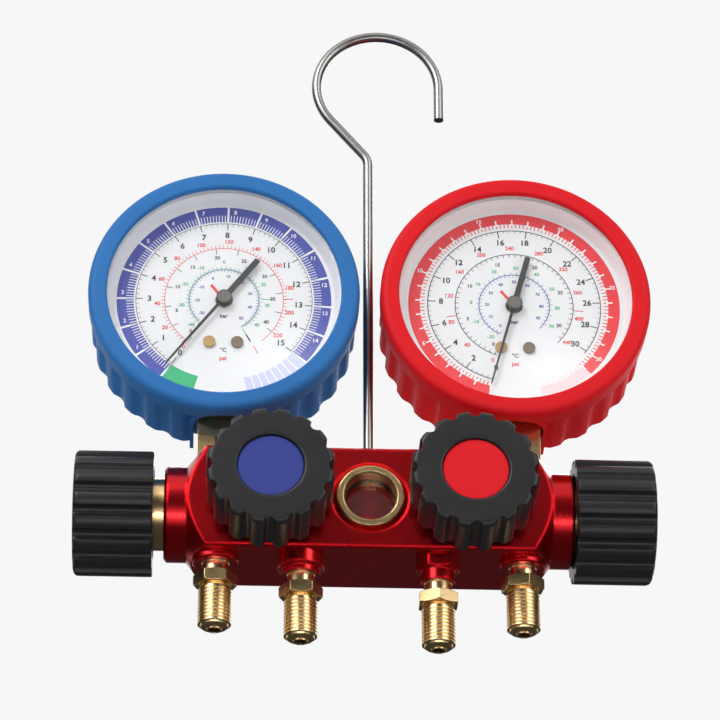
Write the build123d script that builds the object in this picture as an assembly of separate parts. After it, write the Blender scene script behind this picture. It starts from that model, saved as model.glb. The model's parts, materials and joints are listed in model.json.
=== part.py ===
from build123d import *
import math
import os

# Refrigerant manifold gauge: an anodised four-valve block that hangs from a wire hook, with two
# booted dial gauges above it and four flare hose ports below.
#
# Millimetres. It hangs as in use: +Z up, dials and sight glass to -Y, low side to -X. Pieces are
# laid out from the middle of the block, where the valve axes meet, and write() then moves them so
# that the origin is the point inside the hook's loop that the manifold hangs from.

# ---------------------------------------------------------------- driving dimensions
CLEARANCE = 0.05           # radial gap of a turned piece in its bore
OVERCUT = 1.0              # how far a cutter runs past the face that it opens

# block
BLOCK_HEIGHT = 37.0
BLOCK_DEPTH = 33.0
BLOCK_PAST_SOCKETS = 4.3   # full section beyond each gauge's stem
BLOCK_CONE_LENGTH = 6.7
BLOCK_TURNED_DIA = 32.4
BLOCK_TURNED_LENGTH = 7.5
BLOCK_EDGE = 0.9
GALLERY_DIA = 5.0
DRILLING_DIA = 4.0

# sight glass
SIGHT_RING_DIA = 22.4
SIGHT_RING_BORE = 17.0
SIGHT_RING_SEAT = 4.0
SIGHT_RING_PROUD = 1.3
SIGHT_RING_EDGE = 0.4
SIGHT_RING_BEVEL = 0.6
SIGHT_LENS_THICKNESS = 3.0
SIGHT_GASKET_THICKNESS = 1.0
SIGHT_CHAMBER_DIA = 16.0
SIGHT_CHAMBER_DEPTH = 19.0
SIGHT_SPOT_CHAMFER = 1.5

# hook
WIRE_DIA = 3.5
HOOK_LOOP_RADIUS = 21.9    # to the middle of the wire
HOOK_LOOP_Z = 171.6
HOOK_LOOP_X = 3.5
HOOK_BEND_Z = 141.5
HOOK_BEND_RADIUS = 7.0
HOOK_END_DROP = 13.0       # straight free end below the loop's middle
HOOK_HEAD_DIA = 6.4
HOOK_HEAD_LENGTH = 1.5
BUSH_DIA = 8.0
BUSH_FLANGE_DIA = 12.0
BUSH_FLANGE_THICKNESS = 1.5
BUSH_LENGTH = 5.9          # inside the block
HOOK_POCKET_DEPTH = 8.0

# valves, side and front
VALVE_SPACING_FRONT = 67.2
BONNET_HEAD_DIA = 24.5
BONNET_HEAD_LENGTH = 7.5
BONNET_SHANK_DIA = 15.0
BONNET_EDGE = 0.8
STEM_DIA = 8.0
STEM_TIP_DIA = 4.8
STEM_SHOULDER = 0.8        # slope from the tip to the full diameter
STEM_SQUARE = 6.0
STEM_HEAD_DIA = 9.6
STEM_HEAD_LENGTH = 1.5
PACKING_GROOVE_DIA = 11.0
PACKING_GROOVE_WIDTH = 2.4
PACKING_GROOVE_SETBACK = 1.1
PACKING_CORNER = 0.35
PISTON_DIA = 10.0
PISTON_LENGTH = 4.0
PISTON_FLOOR = 1.6         # below the stem's tip
PISTON_EDGE = 0.8
PISTON_COUNTERBORE_TOP = 1.0
CHAMBER_DIA = 12.0
SEAT_GAP = 0.05
SIDE_SHANK_LENGTH = 12.0
SIDE_SEAT_DEPTH = 22.0
FRONT_SHANK_LENGTH = 7.0
FRONT_SEAT_DEPTH = 12.0

# hand wheels
KNOB_DIA = 42.5
SIDE_KNOB_LENGTH = 26.4
FRONT_KNOB_LENGTH = 19.4
KNOB_RIM_GAP = 0.5         # rim to block with the valve shut
KNOB_WALL = 3.0            # between the flutes and the hollow back
KNOB_FLOOR = 4.0
KNOB_OUTER_ROUND = 2.5
KNOB_INNER_EDGE = 0.8
FLUTE_COUNT = 16
FLUTE_WIDTH = 3.7
FLUTE_DEPTH = 2.2
CAP_DIA = 21.9
CAP_THICKNESS = 1.5
CAP_SINK = 1.0
CAP_EDGE = 0.3
CAP_SEAT_EDGE = 0.4
HEAD_POCKET_DIA = 12.0
HEAD_POCKET_DEPTH = 2.0
SIDE_OPENING_LOW = 3.2     # how far each valve is unscrewed at rest
SIDE_OPENING_HIGH = 0.0
FRONT_OPENING = 3.2

# flare ports
PORT_PAST_SOCKETS = 1.0    # outer ports, outboard of the gauges' stems
PORT_SPACING_INNER = 45.4
PORT_Y_OUTER = -6.0
PORT_Y_INNER = -8.0
PORT_SHANK_DIA = 9.6
PORT_SHANK_LENGTH = 9.0
PORT_NECK_DIA = 9.0
PORT_NECK_LENGTH = 3.1
PORT_HEX = 12.7            # across flats
PORT_HEX_LENGTH = 5.5
PORT_RELIEF_DIA = 8.6
PORT_RELIEF_LENGTH = 3.4
FLARE_THREAD_DIA = 11.112  # 7/16-20 UNF
FLARE_THREAD_LENGTH = 10.0
FLARE_LIP_DIA = 5.0
FLARE_NOSE_LENGTH = 1.7
PORT_BORE = 3.8
COLLAR_DIA = 15.6
COLLAR_LOWER_DIA = 13.0
COLLAR_EDGE = 0.5
COLLAR_STEP_LENGTH = 5.0   # wide part of a stepped collar
COLLAR_HEX = 12.7          # across flats, on the charging port
COLLAR_HEX_LOWER_DIA = 11.4
COLLAR_OUTER_LENGTH = 2.5
COLLAR_VACUUM_LENGTH = 7.1
COLLAR_CHARGE_LENGTH = 9.4
CHARGE_HEX_TURN = 30.0     # a corner of the hexagon to the front
HIGH_HEX_TURN = 17.0       # as tightened

# gauges, measured from the stem's axis towards the viewer
HOOK_SIDE_GAP = 1.75       # hook's wire to the boot on each side of it
GAUGE_LIFT = 12.4          # block to boot, which clears the front hand wheels
CASE_DIA = 84.0
CASE_WALL = 1.2
CASE_BACK = -11.0
CASE_SLOT_GAP = 0.2        # round the socket
BOOT_WALL = 4.5            # over the case, at the front band
BOOT_FRONT = 19.0
BOOT_LIP_REACH = 1.9       # of the lip over the case's rim
BOOT_LIP_THICKNESS = 2.2
BOOT_LIP_EDGE = 0.9
BOOT_BAND = 9.0            # smooth front band
BOOT_BAND_RISE = 0.7       # of the band over the fluted side
BOOT_BAND_SLOPE = 1.0
BOOT_ROUND = 2.5
BOOT_REAR_WALL = 1.5
BOOT_REAR_REACH = 7.0      # of the rear wall over the case's back
BOOT_REAR_EDGE = 1.5
BOOT_FLUTES = 28
BOOT_FLUTE_RADIUS = 4.0
BOOT_FLUTE_DEPTH = 1.6
BOOT_NOTCH_WIDTH = 19.0
BOOT_NOTCH_SPRING = 4.0    # where the notch's arch starts
BOOT_NOTCH_RIM = 1.5       # plain rim round the notch, between the flutes
LENS_THICKNESS = 2.0
DIAL_MARGIN = 2.1          # case's bore to dial
DIAL_THICKNESS = 0.8
DIAL_FACE = 9.4
DIAL_BORE = 6.0
INNER_RING_WIDTH = 2.8     # at the dial
INNER_RING_FRONT_WIDTH = 1.2
SOCKET_WIDTH = 16.0
SOCKET_OVER_TUBE = 3.0     # above the middle of the tube
SOCKET_LEDGE_WIDTH = 14.0
SOCKET_LEDGE_TOP = -12.0
SOCKET_LEDGE_THICKNESS = 4.4
SOCKET_SHANK_DIA = 9.6
SOCKET_SHANK_LENGTH = 10.0
SOCKET_BORE = 3.0
TUBE_RADIUS = 31.0         # to the middle of the flattened section
TUBE_SECTION = 2.2
TUBE_WIDTH = 11.0
TUBE_ROOT_ANGLE = 168.0    # clockwise from the top of the dial
TUBE_TIP_ANGLE = -102.0
TUBE_SEAT_ANGLE = 1.0      # room at the tube's root in the socket
TUBE_SLOT_ANGLE = 138.0    # where the slot has run out of the socket
TIP_BLOCK = 5.0
LINK_WIDTH = 2.4
LINK_THICKNESS = 1.2
LINK_GAP = 1.0             # left open between the link and the sector's tail
LINK_LIFT = 0.3            # over the sector's face
VENT_PLUG_DIA = 12.0
VENT_PLUG_FLANGE_DIA = 15.0
VENT_PLUG_FLANGE = 1.2
VENT_PLUG_INSET = 20.0     # from the top of the case

# gauge movement
PLATE_THICKNESS = 1.2
PLATE_BACK = -5.0
PLATE_FRONT = 5.2
GEAR_MODULE = 0.4
PINION_TEETH = 8
SECTOR_FULL_TEETH = 80     # of the whole wheel that the sector is cut from
SECTOR_TEETH = 11
SECTOR_LEAD_TEETH = 1      # past the pinion at zero
TOOTH_FILL_RATIO = 0.34    # tooth thickness to pitch
TOOTH_ROOT_RATIO = 1.5     # flank at the root and at the tip, to half the tooth
TOOTH_TIP_RATIO = 0.6
ADDENDUM_RATIO = 0.75      # to the module
DEDENDUM_RATIO = 1.05
SECTOR_PIVOT_ANGLE = 235.0  # clockwise from the top
SECTOR_THICKNESS = 1.2
SECTOR_HUB_DIA = 6.0
SECTOR_SLEEVE_DIA = 4.2
SECTOR_SHAFT_DIA = 2.4
SECTOR_TAIL = 9.0
SECTOR_TAIL_WIDTH = 3.0
SHAFT_END = 0.3            # past each plate
ARBOR_DIA = 1.6
ARBOR_IN_HUB = 1.4
PINION_LENGTH = 2.4
PLATE_LOBE_RADIUS = 3.5    # of the plates round each hole and pillar
PILLAR_DIA = 4.4
POST_RADIUS = 17.3         # of the dial's screws from the pointer's axis
POST_ANGLE = 16.0          # either side of straight down
TOP_PILLAR_X = 4.0
TOP_PILLAR_Y = 8.0
DIAL_SCREW_DIA = 2.0
DIAL_SCREW_HEAD_DIA = 4.2
DIAL_SCREW_HEAD = 0.9
DIAL_SCREW_LENGTH = 3.4
DIAL_SCREW_TIP_GAP = 0.2
POINTER_LENGTH = 32.0
POINTER_TAIL = 19.0
POINTER_WIDTH = 1.1
POINTER_TAIL_WIDTH = 2.0
POINTER_THICKNESS = 0.5
POINTER_HUB_DIA = 5.2
POINTER_HUB_LENGTH = 2.3
POINTER_GAP = 0.5          # hub to dial
LOW_POINTER_ANGLE = 216.9
HIGH_POINTER_ANGLE = 195.2

# ---------------------------------------------------------------- places worked out from them
BLOCK_TOP = BLOCK_HEIGHT / 2
BLOCK_FRONT = -BLOCK_DEPTH / 2
CASE_RADIUS = CASE_DIA / 2
CASE_BORE = CASE_RADIUS - CASE_WALL
CASE_FRONT = BOOT_FRONT - BOOT_LIP_THICKNESS
BOOT_RADIUS = CASE_RADIUS + BOOT_WALL
BOOT_REAR = CASE_BACK - BOOT_REAR_WALL
GAUGE_SPACING = 2 * BOOT_RADIUS + WIRE_DIA + 2 * HOOK_SIDE_GAP
GAUGE_Z = BLOCK_TOP + GAUGE_LIFT + BOOT_RADIUS
BLOCK_TOP_IN_GAUGE = BLOCK_TOP - GAUGE_Z
BLOCK_SHOULDER_X = GAUGE_SPACING / 2 + BLOCK_PAST_SOCKETS
BLOCK_END_X = BLOCK_SHOULDER_X + BLOCK_CONE_LENGTH + BLOCK_TURNED_LENGTH
PORT_SPACING_OUTER = GAUGE_SPACING + 2 * PORT_PAST_SOCKETS
VENT_PLUG_HEIGHT = CASE_RADIUS - VENT_PLUG_INSET
HOOK_CLEAR_BUSH = BLOCK_TOP - BUSH_LENGTH - CLEARANCE
HANGING_POINT = Vector(HOOK_LOOP_X, 0, HOOK_LOOP_Z + HOOK_LOOP_RADIUS - WIRE_DIA / 2)
PINION_RADIUS = GEAR_MODULE * PINION_TEETH / 2
SECTOR_RADIUS = GEAR_MODULE * SECTOR_FULL_TEETH / 2
GEAR_CENTRES = PINION_RADIUS + SECTOR_RADIUS

OUT_DIR = "parts"


# ---------------------------------------------------------------- shared shapes
def turned(*outline):
    """Solid of revolution about Z from a closed outline of (radius, height) points."""
    return revolve(Plane.XZ * make_face(Polyline(*outline, close=True)), Axis.Z)


def rod(diameter, bottom, top):
    """Plain cylinder about Z between two heights."""
    return Pos(0, 0, bottom) * extrude(Circle(diameter / 2), top - bottom)


def ring(outer_dia, bore, bottom, top):
    return Pos(0, 0, bottom) * extrude(Circle(outer_dia / 2) - Circle(bore / 2), top - bottom)


def bar(x0, x1, y0, y1, z0, z1):
    """Box between limits on each axis."""
    return Box(x1 - x0, y1 - y0, z1 - z0, align=Align.MIN).moved(Location((x0, y0, z0)))


def at_angle(radius, clockwise):
    """Point on a dial, by its angle clockwise from the top as the viewer sees it."""
    a = math.radians(clockwise)
    return radius * math.sin(a), radius * math.cos(a)


def gear_outline(pitch_radius, teeth, first, count):
    """Outer outline of `count` straight-flanked teeth, from the one centred on angle `first`."""
    pitch = 2 * math.pi / teeth
    half = TOOTH_FILL_RATIO * pitch / 2
    tip = pitch_radius + ADDENDUM_RATIO * GEAR_MODULE
    root = pitch_radius - DEDENDUM_RATIO * GEAR_MODULE
    at_root, at_tip = TOOTH_ROOT_RATIO * half, TOOTH_TIP_RATIO * half
    tooth = ((root, -at_root), (tip, -at_tip), (tip, at_tip), (root, at_root))
    points = []
    for i in range(count):
        middle = math.radians(first) + i * pitch
        for radius, offset in tooth:
            points.append((radius * math.cos(middle + offset), radius * math.sin(middle + offset)))
    return points


def hexagon_prism(flats, bottom, top):
    """Hexagon with its corners turned down at both ends."""
    corners = flats / math.cos(math.radians(30))
    drop = (corners - flats) / 2 * math.tan(math.radians(30))
    outline = RegularPolygon(flats / 2, 6, major_radius=False, rotation=30)
    prism = Pos(0, 0, bottom) * extrude(outline, top - bottom)
    rounding = turned(
        (0, bottom),
        (flats / 2, bottom),
        (corners / 2, bottom + drop),
        (corners / 2, top - drop),
        (flats / 2, top),
        (0, top),
    )
    return prism & rounding


# ---------------------------------------------------------------- where each assembly stands
def gauge_plane(side):
    """Dial frame: x right, y up, z towards the viewer, on the pointer's axis."""
    return Plane(origin=(side * GAUGE_SPACING / 2, 0, GAUGE_Z), x_dir=(1, 0, 0), z_dir=(0, -1, 0))


def side_valve_plane(side):
    """Valve frame with z outwards and its zero on the block's turned end."""
    return Plane(origin=(side * BLOCK_END_X, 0, 0), x_dir=(0, 0, 1), z_dir=(side, 0, 0))


def front_valve_plane(side):
    """Valve frame with z outwards and its zero on the block's front face."""
    return Plane(origin=(side * VALVE_SPACING_FRONT / 2, BLOCK_FRONT, 0), x_dir=(1, 0, 0), z_dir=(0, -1, 0))


def port_plane(x, y):
    """Port frame with z downwards and its zero on the block's bottom face."""
    return Plane(origin=(x, y, -BLOCK_TOP), x_dir=(1, 0, 0), z_dir=(0, 0, -1))


SIGHT_PLANE = Plane(origin=(0, BLOCK_FRONT, 0), x_dir=(1, 0, 0), z_dir=(0, -1, 0))


# ---------------------------------------------------------------- block
def valve_cavity(shank_length, seat_depth):
    """Bonnet bore, piston chamber and the hole through the seat, in a valve's frame."""
    bore = rod(BONNET_SHANK_DIA + 2 * CLEARANCE, -shank_length - CLEARANCE, OVERCUT)
    return bore + rod(CHAMBER_DIA, -seat_depth, 0)


def sight_cavity():
    bore_dia = SIGHT_RING_DIA + 2 * CLEARANCE
    shoulder = -(SIGHT_RING_SEAT + SIGHT_LENS_THICKNESS + SIGHT_GASKET_THICKNESS + 3 * CLEARANCE)
    chamfer = turned(
        (0, -SIGHT_SPOT_CHAMFER),
        (bore_dia / 2, -SIGHT_SPOT_CHAMFER),
        (bore_dia / 2 + SIGHT_SPOT_CHAMFER, 0),
        (bore_dia / 2 + SIGHT_SPOT_CHAMFER, OVERCUT),
        (0, OVERCUT),
    )
    return rod(bore_dia, shoulder, 0) + rod(SIGHT_CHAMBER_DIA, -SIGHT_CHAMBER_DEPTH, 0) + chamfer


def port_cavity(x, y):
    """Threaded bore for a port and the drilling up to the valve's level."""
    bore = rod(PORT_SHANK_DIA + 2 * CLEARANCE, -PORT_SHANK_LENGTH - CLEARANCE, OVERCUT)
    return port_plane(x, y) * (bore + rod(DRILLING_DIA, -BLOCK_TOP, 0))


def manifold_block():
    half = BLOCK_TURNED_DIA / 2
    corner = math.hypot(BLOCK_HEIGHT, BLOCK_DEPTH) / 2
    section = chamfer(Rectangle(BLOCK_DEPTH, BLOCK_HEIGHT).vertices(), BLOCK_EDGE)
    body = Plane.YZ * extrude(section, BLOCK_END_X, both=True)
    turning = turned(
        (0, -BLOCK_END_X),
        (half - BLOCK_EDGE, -BLOCK_END_X),
        (half, -BLOCK_END_X + BLOCK_EDGE),
        (half, -BLOCK_SHOULDER_X - BLOCK_CONE_LENGTH),
        (corner, -BLOCK_SHOULDER_X),
        (corner, BLOCK_SHOULDER_X),
        (half, BLOCK_SHOULDER_X + BLOCK_CONE_LENGTH),
        (half, BLOCK_END_X - BLOCK_EDGE),
        (half - BLOCK_EDGE, BLOCK_END_X),
        (0, BLOCK_END_X),
    )
    body = body & (Rot(0, 90, 0) * turning)
    seat_x = BLOCK_END_X - SIDE_SEAT_DEPTH
    body -= Plane.YZ * extrude(Circle(GALLERY_DIA / 2), seat_x + OVERCUT, both=True)
    body -= SIGHT_PLANE * sight_cavity()
    body -= rod(BUSH_DIA + 2 * CLEARANCE, BLOCK_TOP - HOOK_POCKET_DEPTH, BLOCK_TOP + OVERCUT)
    for side in (-1, 1):
        body -= side_valve_plane(side) * valve_cavity(SIDE_SHANK_LENGTH, SIDE_SEAT_DEPTH)
        front = front_valve_plane(side)
        body -= front * valve_cavity(FRONT_SHANK_LENGTH, FRONT_SEAT_DEPTH)
        body -= front * rod(GALLERY_DIA, -BLOCK_DEPTH / 2, 0)
        outer_x, inner_x = side * PORT_SPACING_OUTER / 2, side * PORT_SPACING_INNER / 2
        body -= port_cavity(outer_x, PORT_Y_OUTER)
        body -= port_cavity(inner_x, PORT_Y_INNER)
        valve_x = side * VALVE_SPACING_FRONT / 2
        link = extrude(Circle(DRILLING_DIA / 2), abs(valve_x - inner_x))
        body -= Plane(origin=(inner_x, PORT_Y_INNER, 0), z_dir=(side, 0, 0)) * link
        gauge = Pos(side * GAUGE_SPACING / 2, 0, 0)
        body -= gauge * rod(DRILLING_DIA, 0, BLOCK_TOP)
        shank_end = BLOCK_TOP - SOCKET_SHANK_LENGTH - CLEARANCE
        body -= gauge * rod(SOCKET_SHANK_DIA + 2 * CLEARANCE, shank_end, BLOCK_TOP + OVERCUT)
    return body


# ---------------------------------------------------------------- sight glass
def sight_ring():
    outer, inner = SIGHT_RING_DIA / 2, SIGHT_RING_BORE / 2
    return SIGHT_PLANE * turned(
        (inner, -SIGHT_RING_SEAT),
        (outer, -SIGHT_RING_SEAT),
        (outer, SIGHT_RING_PROUD - SIGHT_RING_EDGE),
        (outer - SIGHT_RING_EDGE, SIGHT_RING_PROUD),
        (inner + SIGHT_RING_BEVEL, SIGHT_RING_PROUD),
        (inner, SIGHT_RING_PROUD - SIGHT_RING_BEVEL),
    )


def sight_lens():
    top = -SIGHT_RING_SEAT - CLEARANCE
    return SIGHT_PLANE * rod(SIGHT_RING_DIA, top - SIGHT_LENS_THICKNESS, top)


def sight_gasket():
    top = -SIGHT_RING_SEAT - SIGHT_LENS_THICKNESS - 2 * CLEARANCE
    return SIGHT_PLANE * ring(SIGHT_RING_DIA, SIGHT_RING_BORE, top - SIGHT_GASKET_THICKNESS, top)


# ---------------------------------------------------------------- hook
def hanging_hook():
    """Bent wire: headed shank, straight stem, bend, slope, round loop and straight free end."""
    centre = Vector(HOOK_LOOP_X, 0, HOOK_LOOP_Z)
    bend = Vector(0, 0, HOOK_BEND_Z)
    reach = (centre - bend).length
    lean = math.asin(HOOK_LOOP_RADIUS / reach) - math.atan2(HOOK_LOOP_X, HOOK_LOOP_Z - HOOK_BEND_Z)
    slope = Vector(-math.sin(lean), 0, math.cos(lean))
    tangent = bend + slope * math.sqrt(reach**2 - HOOK_LOOP_RADIUS**2)
    trim = HOOK_BEND_RADIUS * math.tan(lean / 2)
    stem_top = bend - Vector(0, 0, trim)
    slope_start = bend + slope * trim
    top = centre + Vector(0, 0, HOOK_LOOP_RADIUS)
    right = centre + Vector(HOOK_LOOP_RADIUS, 0, 0)
    start = Vector(0, 0, HOOK_CLEAR_BUSH - HOOK_HEAD_LENGTH / 2)
    stem = Line(start, stem_top)
    turn = TangentArc(stem_top, slope_start, tangent=(0, 0, 1))
    rise = Line(slope_start, tangent)
    loop = ThreePointArc(tangent, top, right)
    end = Line(right, right - Vector(0, 0, HOOK_END_DROP))
    path = Wire([stem.edge(), turn.edge(), rise.edge(), loop.edge(), end.edge()])
    wire = sweep(Plane(origin=start, z_dir=(0, 0, 1)) * Circle(WIRE_DIA / 2), path=path)
    return wire + rod(HOOK_HEAD_DIA, HOOK_CLEAR_BUSH - HOOK_HEAD_LENGTH, HOOK_CLEAR_BUSH)


def hook_bush():
    bore = WIRE_DIA / 2 + CLEARANCE
    return turned(
        (bore, BLOCK_TOP - BUSH_LENGTH),
        (BUSH_DIA / 2, BLOCK_TOP - BUSH_LENGTH),
        (BUSH_DIA / 2, BLOCK_TOP),
        (BUSH_FLANGE_DIA / 2, BLOCK_TOP),
        (BUSH_FLANGE_DIA / 2, BLOCK_TOP + BUSH_FLANGE_THICKNESS),
        (bore, BLOCK_TOP + BUSH_FLANGE_THICKNESS),
    )


# ---------------------------------------------------------------- valves, in a valve's frame
def bonnet(shank_length):
    bore = STEM_DIA / 2 + CLEARANCE
    groove_top = BONNET_HEAD_LENGTH - PACKING_GROOVE_SETBACK
    return turned(
        (bore, BONNET_HEAD_LENGTH),
        (bore, groove_top),
        (PACKING_GROOVE_DIA / 2, groove_top),
        (PACKING_GROOVE_DIA / 2, groove_top - PACKING_GROOVE_WIDTH),
        (bore, groove_top - PACKING_GROOVE_WIDTH),
        (bore, PISTON_COUNTERBORE_TOP),
        (PISTON_DIA / 2 + CLEARANCE, PISTON_COUNTERBORE_TOP),
        (PISTON_DIA / 2 + CLEARANCE, -shank_length),
        (BONNET_SHANK_DIA / 2, -shank_length),
        (BONNET_SHANK_DIA / 2, 0),
        (BONNET_HEAD_DIA / 2, 0),
        (BONNET_HEAD_DIA / 2, BONNET_HEAD_LENGTH - BONNET_EDGE),
        (BONNET_HEAD_DIA / 2 - BONNET_EDGE, BONNET_HEAD_LENGTH),
    )


def packing():
    """Stem seal of square section with cut corners, in the bonnet's groove."""
    inner, outer = STEM_DIA / 2 + CLEARANCE, PACKING_GROOVE_DIA / 2 - CLEARANCE
    top = BONNET_HEAD_LENGTH - PACKING_GROOVE_SETBACK - CLEARANCE
    bottom = top - PACKING_GROOVE_WIDTH + 2 * CLEARANCE
    cut = PACKING_CORNER
    return turned(
        (inner, bottom + cut),
        (inner + cut, bottom),
        (outer - cut, bottom),
        (outer, bottom + cut),
        (outer, top - cut),
        (outer - cut, top),
        (inner + cut, top),
        (inner, top - cut),
    )


def piston(seat_depth, opening):
    bottom = -seat_depth + SEAT_GAP + opening
    pocket = bottom + PISTON_FLOOR
    return turned(
        (0, bottom),
        (PISTON_DIA / 2 - PISTON_EDGE, bottom),
        (PISTON_DIA / 2, bottom + PISTON_EDGE),
        (PISTON_DIA / 2, bottom + PISTON_LENGTH),
        (STEM_TIP_DIA / 2 + CLEARANCE, bottom + PISTON_LENGTH),
        (STEM_TIP_DIA / 2 + CLEARANCE, pocket),
        (0, pocket),
    )


def knob_face(length, opening):
    """Height of a hand wheel's outer face."""
    return KNOB_RIM_GAP + opening + length


def cap_seat(length, opening):
    return knob_face(length, opening) - CAP_SINK - CAP_THICKNESS - CLEARANCE


def knob_floor(length, opening):
    """Heights of the bottom and top of a hand wheel's floor."""
    top = cap_seat(length, opening) - HEAD_POCKET_DEPTH
    return top - KNOB_FLOOR, top


def stem(seat_depth, length, opening):
    """Screwed stem from the piston to the riveted head in the hand wheel."""
    floor, floor_top = knob_floor(length, opening)
    bottom = -seat_depth + SEAT_GAP + opening
    tip = bottom + PISTON_FLOOR + CLEARANCE
    shoulder = bottom + PISTON_LENGTH + CLEARANCE
    body = turned(
        (0, tip),
        (STEM_TIP_DIA / 2, tip),
        (STEM_TIP_DIA / 2, shoulder),
        (STEM_DIA / 2, shoulder + STEM_SHOULDER),
        (STEM_DIA / 2, floor),
        (0, floor),
    )
    square = Pos(0, 0, floor) * extrude(Rectangle(STEM_SQUARE, STEM_SQUARE), floor_top - floor)
    return body + square + rod(STEM_HEAD_DIA, floor_top, floor_top + STEM_HEAD_LENGTH)


def knob(length, opening):
    """Fluted hand wheel: hollow behind, with a seat for its cap in front."""
    rim, face, seat = KNOB_RIM_GAP + opening, knob_face(length, opening), cap_seat(length, opening)
    floor, floor_top = knob_floor(length, opening)
    radius = KNOB_DIA / 2
    recess = radius - FLUTE_DEPTH - KNOB_WALL
    pocket, head = CAP_DIA / 2 + CLEARANCE, HEAD_POCKET_DIA / 2
    outline = Polyline(
        (radius - KNOB_OUTER_ROUND, face),
        (pocket + CAP_SEAT_EDGE, face),
        (pocket, face - CAP_SEAT_EDGE),
        (pocket, seat),
        (head, seat),
        (head, floor_top),
        (0, floor_top),
        (0, floor),
        (recess, floor),
        (recess, rim),
        (radius - KNOB_INNER_EDGE, rim),
        (radius, rim + KNOB_INNER_EDGE),
        (radius, face - KNOB_OUTER_ROUND),
    )
    corner = RadiusArc(
        (radius, face - KNOB_OUTER_ROUND),
        (radius - KNOB_OUTER_ROUND, face),
        -KNOB_OUTER_ROUND,
    )
    body = revolve(Plane.XZ * make_face(outline.edges() + corner.edges()), Axis.Z)
    groove = FLUTE_WIDTH / 2
    centre = radius - FLUTE_DEPTH + groove
    cutters = Sketch() + PolarLocations(centre, FLUTE_COUNT) * Circle(groove)
    body -= Pos(0, 0, rim - OVERCUT) * extrude(cutters, length + 2 * OVERCUT)
    square = STEM_SQUARE + 2 * CLEARANCE
    hole = extrude(Rectangle(square, square), KNOB_FLOOR + 2 * OVERCUT)
    return body - Pos(0, 0, floor - OVERCUT) * hole


def cap(length, opening):
    bottom = cap_seat(length, opening) + CLEARANCE
    return turned(
        (0, bottom),
        (CAP_DIA / 2, bottom),
        (CAP_DIA / 2, bottom + CAP_THICKNESS - CAP_EDGE),
        (CAP_DIA / 2 - CAP_EDGE, bottom + CAP_THICKNESS),
        (0, bottom + CAP_THICKNESS),
    )


# ---------------------------------------------------------------- ports, in a port's frame
def port_collar(length):
    """Anodised collar between block and port; a long one steps down to a narrower end."""
    bore = PORT_SHANK_DIA / 2 + CLEARANCE
    wide = min(length, COLLAR_STEP_LENGTH)
    outline = [(bore, 0), (COLLAR_DIA / 2, 0), (COLLAR_DIA / 2, wide - COLLAR_EDGE)]
    outline.append((COLLAR_DIA / 2 - COLLAR_EDGE, wide))
    if length > wide:
        outline += [(COLLAR_LOWER_DIA / 2, wide), (COLLAR_LOWER_DIA / 2, length)]
    outline.append((bore, length))
    return turned(*outline)


def hexagon_collar(length, turn):
    """Anodised collar with a hexagon against the block."""
    collar = Rot(0, 0, turn) * hexagon_prism(COLLAR_HEX, 0, COLLAR_STEP_LENGTH)
    collar += rod(COLLAR_HEX_LOWER_DIA, 0, length)
    return collar - rod(PORT_SHANK_DIA + 2 * CLEARANCE, -OVERCUT, length + OVERCUT)


def flare_port(collar_length, turn):
    """Brass quarter-inch flare fitting with its hexagon turned by `turn` degrees."""
    neck = collar_length + PORT_NECK_LENGTH
    hexagon = neck + PORT_HEX_LENGTH
    relief = hexagon + PORT_RELIEF_LENGTH
    thread = relief + FLARE_THREAD_LENGTH
    tip = thread + FLARE_NOSE_LENGTH
    crest, lip = FLARE_THREAD_DIA / 2, FLARE_LIP_DIA / 2
    body = turned(
        (0, -PORT_SHANK_LENGTH),
        (PORT_SHANK_DIA / 2, -PORT_SHANK_LENGTH),
        (PORT_SHANK_DIA / 2, collar_length),
        (PORT_NECK_DIA / 2, collar_length),
        (PORT_NECK_DIA / 2, hexagon),
        (PORT_RELIEF_DIA / 2, hexagon),
        (PORT_RELIEF_DIA / 2, relief),
        (crest, relief),
        (crest, thread),
        (lip + FLARE_NOSE_LENGTH, thread),
        (lip, tip),
        (0, tip),
    )
    body += Rot(0, 0, turn) * hexagon_prism(PORT_HEX, neck, hexagon)
    return body - rod(PORT_BORE, -PORT_SHANK_LENGTH - OVERCUT, tip + OVERCUT)


# ---------------------------------------------------------------- gauges, in the dial's frame
def boot_notch(width):
    """Arch over the stem, cut from the boot's rear edge down through its side."""
    straight = BOOT_NOTCH_SPRING - BOOT_REAR + OVERCUT
    arch = Rectangle(width, straight, align=(Align.CENTER, Align.MAX)) + Circle(width / 2)
    return Plane.XZ * extrude(Pos(0, BOOT_NOTCH_SPRING) * arch, BOOT_RADIUS + OVERCUT)


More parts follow.
